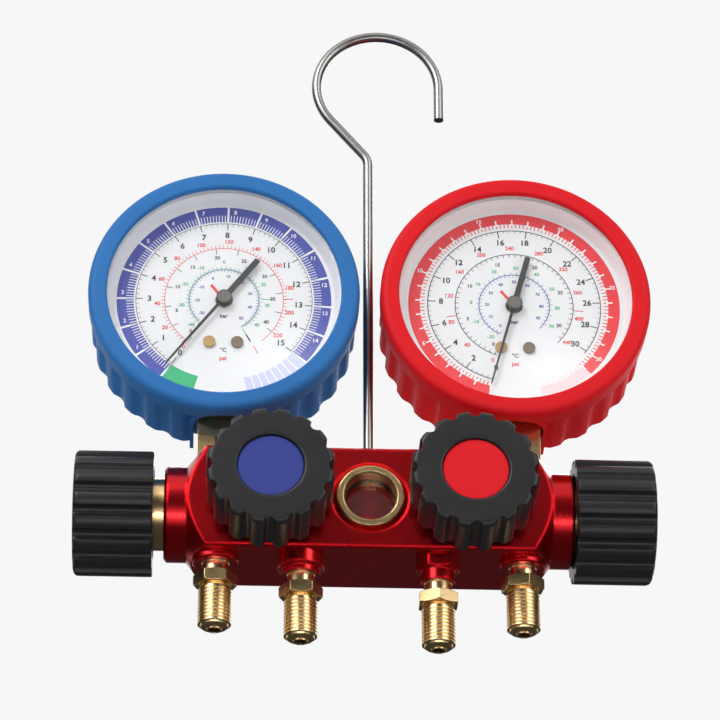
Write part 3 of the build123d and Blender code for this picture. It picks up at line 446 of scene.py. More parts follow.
def wear_group():
    """Edge wear: a mask that is strong where the surface turns sharply, broken up by noise."""
    tree, given, end = group(
        "Edge wear",
        (("Radius", NUMBER, 0.0006), ("Amount", NUMBER, 0.5)),
        (("Mask", NUMBER),),
    )
    bevel = add(tree, "ShaderNodeBevel", (("Radius", given["Radius"]),), samples=4)
    flat = add(tree, "ShaderNodeNewGeometry").outputs["Normal"]
    likeness = vectors(tree, "DOT_PRODUCT", bevel.outputs[0], flat).outputs["Value"]
    turn = between(tree, likeness, 0.998, 0.90)
    noise = add(tree, "ShaderNodeTexNoise", (("Vector", object_place(tree)),), Scale=260.0, Detail=4.0)
    patchy = between(tree, noise.outputs["Fac"], 0.42, 0.62)
    mask = maths(tree, "MULTIPLY", maths(tree, "MULTIPLY", turn, patchy), given["Amount"])
    feed(tree, end, (("Mask", mask),))
    return tree


def effect(tree, name, **values):
    """Places a shared effect in a material with its own values."""
    makers = {"Uneven shade": mottle_group, "Fine relief": grain_group, "Edge wear": wear_group}
    if name not in EFFECTS:
        EFFECTS[name] = makers[name]()
    node = tree.nodes.new("ShaderNodeGroup")
    node.node_tree = EFFECTS[name]
    feed(tree, node, values.items())
    return node


def blank(name):
    """A new material with nodes, its tree and its shader."""
    made = bpy.data.materials.new(name)
    made.use_nodes = True
    return made, made.node_tree, made.node_tree.nodes["Principled BSDF"]


def surface(
    name, tint, roughness, metallic=0.0, shade=0.12, spread=0.12, scale=60.0,
    relief=None, worn=None, edge=0.0, **sockets,
):
    """A finished material: uneven shade, fine relief, softened edges and, where it shows, edge wear."""
    made, tree, shader = blank(name)
    feed(tree, shader, [("Metallic", metallic)] + [(key.replace("_", " "), sockets[key]) for key in sockets])
    uneven = effect(
        tree, "Uneven shade", Colour=(*tint, 1), Shade=shade, Scale=scale, Roughness=roughness, Spread=spread
    )
    base = uneven.outputs["Colour"]
    if worn:
        worn_tint, radius, amount = worn
        wear = effect(tree, "Edge wear", Radius=radius, Amount=amount)
        base = blend(tree, wear.outputs["Mask"], base, (*worn_tint, 1))
    feed(tree, shader, (("Base Color", base), ("Roughness", uneven.outputs["Roughness"])))
    if relief:
        stretch, fineness, strength, distance = relief
        grain = effect(tree, "Fine relief", Stretch=stretch, Scale=fineness, Strength=strength)
        height = (("Height", grain.outputs["Height"]),)
        bump = add(tree, "ShaderNodeBump", height, Strength=1.0, Distance=distance)
        feed(tree, shader, (("Normal", bump.outputs["Normal"]),))
        if edge:
            soft_edge = add(tree, "ShaderNodeBevel", samples=6, Radius=edge)
            feed(tree, bump, (("Normal", soft_edge.outputs["Normal"]),))
    return made


def spotted(made, tint, offset, radius):
    """Puts a second colour round one point of each dial, given from its hub and measured across it."""
    tree = made.node_tree
    shader = tree.nodes["Principled BSDF"]
    place = vectors(tree, "MULTIPLY", object_place(tree), (1, 0, 1)).outputs[0]
    masks = []
    for gauge in GAUGES:
        point = hub(gauge) + offset
        away = vectors(tree, "DISTANCE", place, (point.x, 0, point.z)).outputs["Value"]
        masks.append(maths(tree, "LESS_THAN", away, radius))
    base = shader.inputs["Base Color"].links[0].from_socket
    mixed = blend(tree, maths(tree, "MAXIMUM", *masks), base, (*tint, 1))
    feed(tree, shader, (("Base Color", mixed),))
    return made


def clear(name, tint, roughness, ior):
    """Clear pane: light passes straight through it to what lies behind."""
    made, tree, shader = blank(name)
    values = (("Base Color", (*tint, 1)), ("Roughness", roughness), ("IOR", ior), ("Transmission Weight", 1.0))
    feed(tree, shader, values)
    shadow = add(tree, "ShaderNodeLightPath").outputs["Is Shadow Ray"]
    straight = add(tree, "ShaderNodeBsdfTransparent", Color=(*tint, 1)).outputs[0]
    mixed = add(tree, "ShaderNodeMixShader", ((0, shadow), (1, shader.outputs[0]), (2, straight)))
    feed(tree, tree.nodes["Material Output"], (("Surface", mixed.outputs[0]),))
    return made


# Relief: stretch along the axes, fineness, strength, and depth in metres.
PLASTIC_RELIEF = ((1, 1, 1), 1400.0, 0.5, 0.00004)
RUBBER_RELIEF = ((1, 1, 1), 1100.0, 0.6, 0.00006)
# Panes: tint, roughness, index of refraction.
PANES = {
    "gauge_pane": ((0.98, 0.985, 0.99), 0.02, 1.46),
    # The sight glass's grey tint darkens the chamber seen through it: painted shade in that recess.
    "sight_pane": ((0.62, 0.60, 0.60), 0.03, 1.5),
}
# Second colours: tint, place from the hub, radius. They show the pointer's boss, and make the right-hand dial
# screw darker than the left one.
SPOTS = {
    "pointer_black": ((0.115, 0.098, 0.085), Vector((0, 0, 0)), 2.3 * MM),
    "dial_screw": ((0.17, 0.13, 0.08), RIGHT * 4.4 * MM - UP * 16.6 * MM, 2.6 * MM),
}


def finishes(c):
    """What surface() takes for each opaque finish, with the colours in the panel."""
    boot = dict(roughness=0.52, shade=0.16, spread=0.14, scale=45.0, relief=RUBBER_RELIEF)
    boot["Specular_IOR_Level"] = 0.14
    cap = dict(roughness=0.42, shade=0.14, relief=PLASTIC_RELIEF, Specular_IOR_Level=0.2)
    ink = dict(roughness=0.5, shade=0.08, spread=0.05)
    prints = ("blue", "red", "green", "black", "lilac", "rose")
    return {
        "anodised_red": dict(
            tint=c.block, roughness=0.26, metallic=0.92, shade=0.25, spread=0.14, scale=38.0,
            relief=((0.3, 1, 1), 420.0, 0.5, 0.00001), edge=1.4 * MM, Coat_Weight=0.3, Coat_Roughness=0.20,
        ),
        "turned_brass": dict(
            tint=c.brass, roughness=0.24, metallic=1.0, shade=0.22, spread=0.16, scale=120.0,
            relief=((0.15, 0.15, 1), 2600.0, 0.4, 0.00002), edge=0.3 * MM,
        ),
        "movement_brass": dict(tint=c.brass, roughness=0.34, metallic=1.0, shade=0.2, spread=0.1, scale=200.0),
        "dial_screw": dict(tint=(0.42, 0.27, 0.11), roughness=0.34, metallic=1.0, shade=0.3, scale=300.0),
        "plated_wire": dict(
            tint=c.wire, roughness=0.29, metallic=1.0, shade=0.35, spread=0.14, scale=70.0,
            relief=((1, 1, 0.06), 700.0, 0.3, 0.00001),
        ),
        "case_steel": dict(
            tint=(0.56, 0.56, 0.57), roughness=0.30, metallic=1.0, shade=0.3, spread=0.2,
            relief=((0.04, 1, 1), 700.0, 0.8, 0.00005),
        ),
        "silver_ring": dict(tint=(0.90, 0.90, 0.90), roughness=0.34, metallic=0.15, shade=0.05, spread=0.08),
        "black_plastic": dict(
            tint=c.wheel, roughness=0.40, shade=0.3, spread=0.16, scale=70.0, relief=PLASTIC_RELIEF,
            worn=((0.08, 0.08, 0.085), 0.0007, 0.35), Specular_IOR_Level=0.34,
        ),
        "black_rubber": dict(tint=(0.018, 0.018, 0.018), roughness=0.7, relief=RUBBER_RELIEF),
        "gasket_rubber": dict(tint=(0.02, 0.02, 0.02), roughness=0.6, relief=RUBBER_RELIEF),
        "pointer_black": dict(tint=(0.012, 0.012, 0.013), roughness=0.45, shade=0.2),
        "dial_enamel": dict(tint=c.dial, roughness=0.45, shade=0.04, spread=0.06),
        "low_boot_rubber": dict(tint=c.low_boot, **boot),
        "high_boot_rubber": dict(tint=c.high_boot, **boot),
        "blue_plastic": dict(tint=c.blue_cap, **cap),
        "red_plastic": dict(tint=c.red_cap, **cap),
        **{f"{name}_ink": dict(tint=getattr(c, f"{name}_print"), **ink) for name in prints},
        "white_ink": dict(tint=(0.88, 0.88, 0.88), roughness=0.5, shade=0.04, spread=0.05),
    }


def material(name):
    """A finish by its name, made once from the colours in the panel."""
    if name not in MATERIALS:
        if name in PANES:
            made = clear(name, *PANES[name])
        else:
            made = surface(name, **finishes(colours())[name])
        if name in SPOTS:
            spotted(made, *SPOTS[name])
        MATERIALS[name] = made
    return MATERIALS[name]


# ---------------- block and plain brass
class FinishBlock(bpy.types.Operator):
    """Finish the anodised block and the collars of its ports"""

    bl_idname = "manifold.block"
    bl_label = "Block and collars"

    def execute(self, context):
        dress("anodised_red", "manifold_block", *(f"{port}_port_collar" for port in PORTS))
        return {"FINISHED"}


class FinishBrass(bpy.types.Operator):
    """Finish the bonnets, sockets, bush, stems and the parts of the gauge movements"""

    bl_idname = "manifold.brass"
    bl_label = "Brass parts"

    def execute(self, context):
        dress("turned_brass", *(f"{v}_valve_{piece}" for v in VALVES for piece in ("bonnet", "piston", "stem")))
        dress("turned_brass", "hook_bush", *(f"{gauge}_gauge_socket" for gauge in GAUGES))
        dress("dial_screw", "dial_screws")
        dress("gasket_rubber", "stem_packings")
        inner = ("bourdon_tube", "movement_frame", "sector", "arbor")
        dress("movement_brass", *(f"{gauge}_gauge_{piece}" for gauge in GAUGES for piece in inner))
        return {"FINISHED"}


class FinishSightGlass(bpy.types.Operator):
    """Finish the sight glass: brass ring, pane and gasket"""

    bl_idname = "manifold.sight_glass"
    bl_label = "Sight glass"

    def execute(self, context):
        dress("turned_brass", "sight_glass_ring")
        # The pane is tinted grey to paint shade into the chamber behind it.
        dress("sight_pane", "sight_glass_lens")
        dress("gasket_rubber", "sight_glass_gasket")
        return {"FINISHED"}


class FinishHook(bpy.types.Operator):
    """Finish the plated wire hook"""

    bl_idname = "manifold.hook"
    bl_label = "Hook"

    def execute(self, context):
        dress("plated_wire", "hanging_hook")
        return {"FINISHED"}


# ---------------- boots
def notch_cutter(width, spring, rear, drop):
    """Arched block that cuts the stem's notch: a cube with its two front edges rounded right over."""
    half = width / 2
    top = spring + half
    bpy.ops.mesh.primitive_cube_add(size=1, location=(0, -drop / 2, (top + rear) / 2))
    tool = bpy.context.object
    tool.scale = (width, drop, top - rear)
    bpy.ops.object.transform_apply(location=True, rotation=False, scale=True)
    edit(tool)
    corner = Vector((half, 0, top))
    found = pick(tool, lambda place, item: (Vector((abs(place.x), 0, place.z)) - corner).length < 1e-6, "edges")
    if found != 2:
        raise RuntimeError(f"the notch's arch has {found} edges instead of 2")
    bpy.ops.mesh.bevel(offset=half * 0.999, segments=10, profile=0.5, clamp_overlap=False)
    return close_up(tool)


def model_boot(gauge):
    """Rubber boot: rounded lip, smooth band, fluted side, rear wall and a rimmed notch."""
    s = sizes()
    gap = 0.05 * MM          # round the case
    lip_width, lip_inner = 6.4 * MM, 0.9 * MM          # front lip, and the rounding of its inner edge
    step, grip_end = 0.7 * MM, 1.9 * MM          # from the band in to the grip, and where the grip stops
    wall, wall_round, rear_round = 7 * MM, 0.6 * MM, 1.6 * MM          # rear wall and its two roundings
    notch_half, notch_spring = 9.5 * MM, 4 * MM          # half width, and height where its arch starts
    origin = hub(gauge)
    low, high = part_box(f"{gauge}_gauge_boot")
    rear, front = reach(f"{gauge}_gauge_boot", origin, FRONT)
    radius = (high[0] - low[0]) / 2
    case_low, case_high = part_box(f"{gauge}_gauge_case")
    inside = (case_high[0] - case_low[0]) / 2 + gap
    case_rear, case_front = reach(f"{gauge}_gauge_case", origin, FRONT)
    lip = radius - lip_width
    r = s.lip_round
    band = front - s.band
    side = radius - step
    outline = (
        rounded((radius - r, front - r), r, 0, 90, 6)
        + rounded((lip + lip_inner, front - lip_inner), lip_inner, 90, 180, 4)
        + [(lip, case_front + gap), (inside, case_front + gap), (inside, case_rear - gap)]
        + [(inside - wall, case_rear - gap)]
        + rounded((inside - wall + wall_round, rear + wall_round), wall_round, 180, 270, 3)
        + rounded((side - rear_round, rear + rear_round), rear_round, 270, 360, 4)
        + [(side, rear + (band - rear) * share) for share in (0.35, 0.7)]
        + [(side, band - 2.2 * MM), (side, band - 1.2 * MM), (radius, band)]
    )
    boot = turned(f"{gauge}_rubber_boot", outline, BOOT_FLUTES * PHASES)
    press_in(
        boot,
        BOOT_FLUTES,
        fluted(side, BOOT_FLUTES, s.boot_flute, s.boot_groove, 9.0 * MM),
        lambda place: place.z < band - grip_end and place.xy.length > inside + 1.0 * MM,
    )
    width = 2 * notch_half
    rim = notch_cutter(width + 2 * s.notch_rim, notch_spring, rear + 0.02 * MM, radius - 0.6 * MM)
    filled = [(0, rear - MM), (inside, rear - MM), (inside, front), (0, front)]
    cut(rim, turned("hollow", filled, 64, closed=False))
    cut(boot, rim, "UNION")
    cut(boot, notch_cutter(width, notch_spring, rear - MM, radius + 2 * MM))
    smooth(boot, 40)
    settle(boot, origin, RIGHT, FRONT)
    return finish(
        boot, material(f"{gauge}_boot_rubber"), "manifold",
        (f"{gauge}_gauge_boot",),
    )


class ModelBoots(bpy.types.Operator):
    """Model the two rubber boots"""

    bl_idname = "manifold.boots"
    bl_label = "Boots"

    def execute(self, context):
        for gauge in GAUGES:
            model_boot(gauge)
        return {"FINISHED"}


# ---------------- hand wheels
KNOB_DIAMETER, KNOB_BOX = 42.5, 42.3421          # over the lobes, and as the box round them has it


def wheel_frame(valve):
    """Origin, right-hand direction and outward direction of a valve."""
    joint = JOINTS[f"{valve}_hand_wheel_turn"]
    out = Vector(joint["axis"])
    return Vector(joint["pos_m"]), (UP if abs(out.x) > 0.5 else RIGHT), out


def model_wheel(valve):
    """Moulded hand wheel: soft flutes, a rounded rim, a seat for the cap and a hollow back."""
    s = sizes()
    node = f"{valve}_valve_knob"
    origin, right, out = wheel_frame(valve)
    rim, face = reach(node, origin, out)
    low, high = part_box(node)
    across = max(high[i] - low[i] for i in range(3) if abs(out[i]) < 0.5)
    radius = across / 2 * KNOB_DIAMETER / KNOB_BOX
    cap_rim, _ = reach(f"{valve}_valve_cap", origin, out)
    r, edge = s.wheel_round, 0.8 * MM
    pocket, pocket_round, boss = 11.0 * MM, 0.7 * MM, 6 * MM          # for the cap, and the stem's seat
    recess = radius - s.wheel_flute - 3.0 * MM
    back_round = 0.5 * MM
    outline = (
        rounded((radius - r, face - r), r, 0, 90, 6)
        + [(radius - s.wheel_flute - 0.5 * MM, face), (pocket + 1.3 * MM, face)]
        + rounded((pocket + pocket_round, face - pocket_round), pocket_round, 90, 180, 3)
        + [(pocket, cap_rim), (boss, cap_rim), (boss, cap_rim - 2 * MM), (0.0, cap_rim - 2 * MM)]
        + [(0.0, cap_rim - 6 * MM), (recess, cap_rim - 6 * MM)]
        + rounded((recess + back_round, rim + back_round), back_round, 180, 270, 3)
        + rounded((radius - edge, rim + edge), edge, 270, 360, 3)
        + [(radius, rim + (face - rim) * share) for share in (0.35, 0.65)]
    )
    wheel = turned(f"{valve}_hand_wheel", outline, WHEEL_FLUTES * PHASES)
    grip = fluted(radius, WHEEL_FLUTES, s.wheel_flute, s.wheel_groove, 4.4 * MM)
    press_in(wheel, WHEEL_FLUTES, grip, lambda place: place.xy.length > recess + 1.0 * MM)
    smooth(wheel, 38)
    settle(wheel, origin, right, out)
    return finish(wheel, material("black_plastic"), f"{valve}_hand_wheel", (node,))


class ModelHandWheels(bpy.types.Operator):
    """Model the four hand wheels and finish their caps"""

    bl_idname = "manifold.hand_wheels"
    bl_label = "Hand wheels"

    def execute(self, context):
        for valve in VALVES:
            model_wheel(valve)
        dress("black_plastic", "low_valve_cap", "high_valve_cap")
        dress("blue_plastic", "vacuum_valve_cap")
        dress("red_plastic", "charging_valve_cap")
        return {"FINISHED"}


# ---------------- flare ports
def model_hexagon(flats, start, end):
    """Hexagon with its corners turned down at both ends."""
    corners = flats / math.cos(math.radians(30))
    deselect()
    middle = (0, 0, (start + end) / 2)
    bpy.ops.mesh.primitive_cylinder_add(vertices=6, radius=corners, depth=end - start, location=middle)
    nut = bpy.context.object
    bpy.ops.object.transform_apply(location=True)
    drop = (corners - flats) * 0.6
    side = [(corners, start + drop), (corners, end - drop)]
    turning = turned(
        "turning", [(0, start), (flats * 0.99, start), *side, (flats * 0.99, end), (0, end)], 72, closed=False
    )
    cut(nut, turning, "INTERSECT")
    modify(nut, "BEVEL", width=0.12 * MM, segments=2, limit_method="ANGLE", angle_limit=math.radians(35))
    return nut


def model_port(port):
    """Brass flare port: neck, hexagon, relief, cut thread, tapered nose and bore."""
    s = sizes()
    mount = MOUNTS[f"{port}_side_port" if port in GAUGES else f"{port}_port"]
    middle = Vector(mount["pos_m"])
    block_low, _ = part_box("manifold_block")
    origin = Vector((middle.x, middle.y, block_low[2]))
    _, collar_end = reach(f"{port}_port_collar", origin, DOWN)
    _, tip = reach(f"{port}_port_fitting", origin, DOWN)
    crest = mount["dims"]["r_mm"] * MM
    thread_start = (middle - origin).dot(DOWN) - mount["dims"]["length_mm"] * MM / 2
    thread_end = thread_start + mount["dims"]["length_mm"] * MM
    hex_start = thread_start - 8.3 * MM
    hex_end = hex_start + s.hexagon
    barrel = hex_end + 0.9 * MM          # where the threaded barrel starts
    neck, relief, root = 4.5 * MM, 4.3 * MM, crest - s.thread_depth
    lip, bore, plug = 2.5 * MM, 1.9 * MM, 4.8 * MM          # nose, drilling, and the end inside the collar
    outline = [(bore, collar_end - 2 * MM), (plug, collar_end - 2 * MM), (plug, collar_end + 0.01 * MM)]
    outline += [(neck, collar_end + 0.3 * MM), (neck, hex_start + MM), (relief, hex_start + MM)]
    outline += [(relief, barrel - 0.2 * MM), (root, barrel)]
    turns = int((thread_end - barrel) / s.thread_pitch)
    for turn in range(turns):
        at = thread_end - (turns - turn) * s.thread_pitch
        for share, thread_radius in ((0.06, root), (0.22, crest), (0.78, crest), (0.94, root)):
            outline.append((thread_radius, at + share * s.thread_pitch))
    nose = thread_end - 0.2 * MM
    outline += [(root, nose - 0.3 * MM)]
    outline += rounded((lip + 1.2 * MM, tip - 1.9 * MM), 1.1 * MM, 10, 60, 4)
    outline += [(lip, tip - 0.5 * MM), (lip, tip - 0.1 * MM), (lip - 0.1 * MM, tip), (bore, tip)]
    body = turned(f"{port}_flare_port", outline, 64)
    hexagon = model_hexagon(6.35 * MM, hex_start, hex_end)
    alone(hexagon)
    hexagon.rotation_euler = (0, 0, math.radians(PORT_TURNS[port] + 30))
    bpy.ops.object.transform_apply(rotation=True)
    drilled = [(0, hex_start - MM), (bore, hex_start - MM), (bore, hex_end + MM), (0, hex_end + MM)]
    cut(hexagon, turned("hole", drilled, 32, closed=False))
    body = join(f"{port}_flare_port", [body, hexagon])
    smooth(body, 30)
    settle(body, origin, RIGHT, DOWN)
    return finish(body, material("turned_brass"), "manifold", (f"{port}_port_fitting",))


class ModelPorts(bpy.types.Operator):
    """Model the four brass flare ports with their threads"""

    bl_idname = "manifold.flare_ports"
    bl_label = "Flare ports"

    def execute(self, context):
        for port in PORTS:
            model_port(port)
        return {"FINISHED"}


# ---------------- dials, drawn in millimetres
def clockwise(radius, degrees):
    """Place on a dial, by its angle from the top."""
    angle = math.radians(degrees)
    return radius * math.sin(angle), radius * math.cos(angle)


def printed_band(name, inner, outer, start, sweep):
    """Arc of ink between two radii, clockwise from `start` degrees."""
    steps = max(int(abs(sweep) / 2.5), 2)
    band = turned(name, [(inner * MM, 0), (outer * MM, 0)], steps, closed=False, sweep=math.radians(sweep))
    band.rotation_euler = (0, 0, math.radians(90 - start))
    return flat_ink(band)


def flat_ink(piece):
    """Gives flat ink its thickness."""
    alone(piece)
    bpy.ops.object.transform_apply(location=True, rotation=True, scale=True)
    edit(piece)
    close_up(piece)
    if sum(face.normal.z for face in piece.data.polygons) < 0:
        edit(piece)
        bpy.ops.mesh.select_all(action="SELECT")
        bpy.ops.mesh.flip_normals()
        bpy.ops.object.mode_set(mode="OBJECT")
    modify(piece, "SOLIDIFY", thickness=sizes().print_thickness, offset=1.0)
    return piece


def printed_ticks(name, inner, outer, width, start, sweep=0.0, count=0):
    """One tick, or a ring of `count` + 1 ticks: the first is spun in copies."""
    deselect()
    bpy.ops.mesh.primitive_plane_add(size=1, location=(0, (inner + outer) / 2 * MM, 0))
    ticks = bpy.context.object
    ticks.name = name
    ticks.scale = (width * MM, (outer - inner) * MM, 1)
    bpy.ops.object.transform_apply(location=True, scale=True)
    if count:
        edit(ticks)
        bpy.ops.mesh.select_all(action="SELECT")
        turn = {"steps": count, "angle": math.radians(sweep), "center": (0, 0, 0), "axis": (0, 0, 1)}
        bpy.ops.mesh.spin(dupli=True, use_auto_merge=False, **turn)
        bpy.ops.object.mode_set(mode="OBJECT")
    ticks.rotation_euler = (0, 0, math.radians(-start))
    return flat_ink(ticks)


def printed_figures(name, values, radius, height, start, sweep):
    """Upright figures spaced evenly along an arc."""
    figures = []
    for index, value in enumerate(values):
        x, y = clockwise(radius, start + sweep * index / (len(values) - 1))
        figures.append(printed_word(f"{name}_{index}", str(value), x, y, height))
    return join(name, figures)


def printed_word(name, text, x, y, height):
    """A word or figure, upright and centred."""
    deselect()
    bpy.ops.object.text_add(location=(x * MM, y * MM, 0))
    word = bpy.context.object
    word.name = name
    word.data.body = text
    word.data.size = height * MM * 1.4
    word.data.align_x = "CENTER"
    word.data.align_y = "CENTER"
    word.data.resolution_u = 3
    word.data.offset = height * MM * 0.035
    bpy.ops.object.convert(target="MESH")
    return flat_ink(bpy.context.object)


def printed_line(name, radius, width, start, sweep):
    """Thin arc on its own."""
    return printed_band(name, radius - width / 2, radius + width / 2, start, sweep)


def low_dial():
    """Blue pressure band with white divisions, and three rings of finer scales inside it."""
    figure = sizes().figure_height / MM * FIGURE_SHARE
    start, sweep, parts = 214.7, 275.3, 15
    inner, outer = 31.0, 36.9
    return {
        "blue_ink": [
            printed_band("band", inner, outer, start, sweep),
            printed_line("inner_line", 11.9, 0.22, 225, 285),
            printed_ticks("inner_ticks", 11.0, 11.9, 0.16, 228, 270, 45),
            printed_figures("inner_figures", range(-30, 51, 10), 9.3, 1.15, 235, 265),
        ],
        "green_ink": [
            printed_band("vacuum_zone", inner, outer, 195.5, 19.2),
            printed_line("second_line", 12.3, 0.2, 215, 295),
            printed_ticks("second_ticks", 12.3, 13.3, 0.18, 222, 280, 40),
            printed_figures("second_figures", range(-40, 41, 10), 14.9, 1.3, 228, 262),
            printed_ticks("second_mark", 13.0, 16.4, 0.3, 88, 62, 1),
        ],
        "lilac_ink": [printed_band("retard_zone", inner, outer, 130.2, 36.4)],
        "white_ink": [
            printed_ticks("white_edges", inner - 0.05, outer + 0.05, 0.7, start, sweep, parts),
            printed_ticks("white_teeth", inner - 0.05, 33.6, 0.24, start, sweep, parts * 10),
            printed_ticks("retard_hatch", inner, outer, 0.35, 136, 26, 6),
            printed_figures("white_figures", range(1, parts), 35.0, 1.5, start + 22, sweep - 36),
        ],
        "black_ink": [
            printed_line("main_line", 30.3, 0.2, start, sweep),
            printed_ticks("main_ticks", 27.9, 30.3, 0.32, start, sweep, parts),
            printed_ticks("fine_ticks", 29.2, 30.3, 0.14, start, sweep, parts * 5),
            printed_figures("main_figures", range(0, parts + 1), 25.6, figure, start, sweep),
            printed_ticks("middle_marks", 18.2, 20.2, 0.24, 216, 270, 12),
            printed_figures("middle_inner_figures", range(0, 41, 5), 16.8, 1.35, 222, 258),
            printed_ticks("end_mark", 15.6, 18.6, 0.5, 150),
        ],
        "red_ink": [
            printed_line("middle_line", 20.4, 0.22, 216, 284),
            printed_ticks("middle_ticks", 20.4, 21.7, 0.18, 216, 270, 72),
            printed_figures("middle_figures", range(0, 221, 20), 23.0, 1.5, 216, 270),
            printed_ticks("middle_long_marks", 20.4, 23.8, 0.3, 88, 62, 1),
            printed_ticks("zero_mark", 3.4, 7.4, 1.0, 322),
        ],
    }


def high_dial():
    """Red pressure band with toothed divisions, and three rings of finer scales inside it."""
    figure = sizes().figure_height / MM * FIGURE_SHARE
    start, sweep, parts = 195.2, 300.0, 31
    inner, outer = 32.6, 36.6
    return {
        "red_ink": [
            printed_band("band", inner, outer, start, sweep),
            printed_ticks("red_teeth", 31.0, inner + 0.1, 0.34, start, sweep, parts * 4),
            printed_figures("middle_figures", range(0, 441, 40), 22.8, 1.5, 200, 288),
            printed_ticks("middle_long_marks", 20.6, 24.0, 0.3, 94, 164, 1),
            printed_ticks("zero_mark", 3.4, 7.4, 1.0, 322),
        ],
        "rose_ink": [
            printed_band("retard_zone", inner, outer, 135.4, 30),
            printed_ticks("rose_teeth", 31.0, inner, 0.4, 137, 26, 8),
        ],
        "white_ink": [
            printed_ticks("white_teeth", 32.0, 34.2, 0.5, start, sweep, parts),
            printed_figures("white_figures", range(5, 31, 5), 35.1, 1.5, start + 48.4, 241.9),
        ],
        "black_ink": [
            printed_line("main_line", 29.9, 0.3, start, 292),
            printed_ticks("main_ticks", 27.2, 29.9, 0.34, start, 290, 15),
            printed_ticks("fine_ticks", 28.9, 29.9, 0.15, start, 290, 75),
            printed_figures("main_figures", range(0, 31, 2), 25.3, figure, start, 290),
            printed_line("middle_line", 20.4, 0.28, 198, 296),
            printed_ticks("middle_ticks", 19.2, 20.4, 0.22, 200, 288, 48),
            printed_figures("middle_inner_figures", range(0, 31, 5), 17.0, 1.35, 206, 270),
        ],
        "blue_ink": [
            printed_line("inner_line", 12.2, 0.3, 205, 290),
            printed_ticks("inner_ticks", 11.2, 12.2, 0.18, 205, 280, 40),
            printed_figures("inner_figures", range(0, 91, 10), 9.4, 1.15, 212, 268),
        ],
        "green_ink": [
            printed_ticks("second_ticks", 12.4, 13.3, 0.2, 208, 276, 30),
            printed_figures("second_figures", range(-20, 71, 10), 14.9, 1.3, 214, 268),
        ],
    }


class ModelDials(bpy.types.Operator):
    """Print the two dials: bands, ticks, figures and units"""

    bl_idname = "manifold.dials"
    bl_label = "Dials"

    def execute(self, context):
        for gauge, drawing in (("low", low_dial), ("high", high_dial)):
            dress("dial_enamel", f"{gauge}_gauge_dial")
            axis = hub(gauge)
            _, face = reach(f"{gauge}_gauge_dial", axis, FRONT)
            pieces = drawing()
            pieces["black_ink"].append(printed_word("unit", "bar", 0, -6.4, 1.5))
            pieces["black_ink"].append(printed_word("inner_unit", "\u00b0C", 0, -19.6, 1.5))
            pieces["red_ink"].append(printed_word("second_unit", "psi", 0, -22.8, 1.6))
            for ink, marks in pieces.items():
                printed = join(f"{gauge}_dial_{ink}", marks)
                level = face + INK_LEVELS.get(ink, 0) * sizes().print_thickness
                settle(printed, axis + FRONT * level, RIGHT, FRONT)
                finish(printed, material(ink), "manifold")
        return {"FINISHED"}


class FinishGauges(bpy.types.Operator):
    """Finish the cases, rings, panes, pointers and vent plugs"""

    bl_idname = "manifold.gauges"
    bl_label = "Gauge shells and pointers"

    def execute(self, context):
        for gauge in GAUGES:
            dress("case_steel", f"{gauge}_gauge_case")
            dress("silver_ring", f"{gauge}_gauge_inner_ring")
            dress("gauge_pane", f"{gauge}_gauge_lens")
            dress("pointer_black", f"{gauge}_gauge_pointer")
        dress("black_rubber", "vent_plugs")
        return {"FINISHED"}


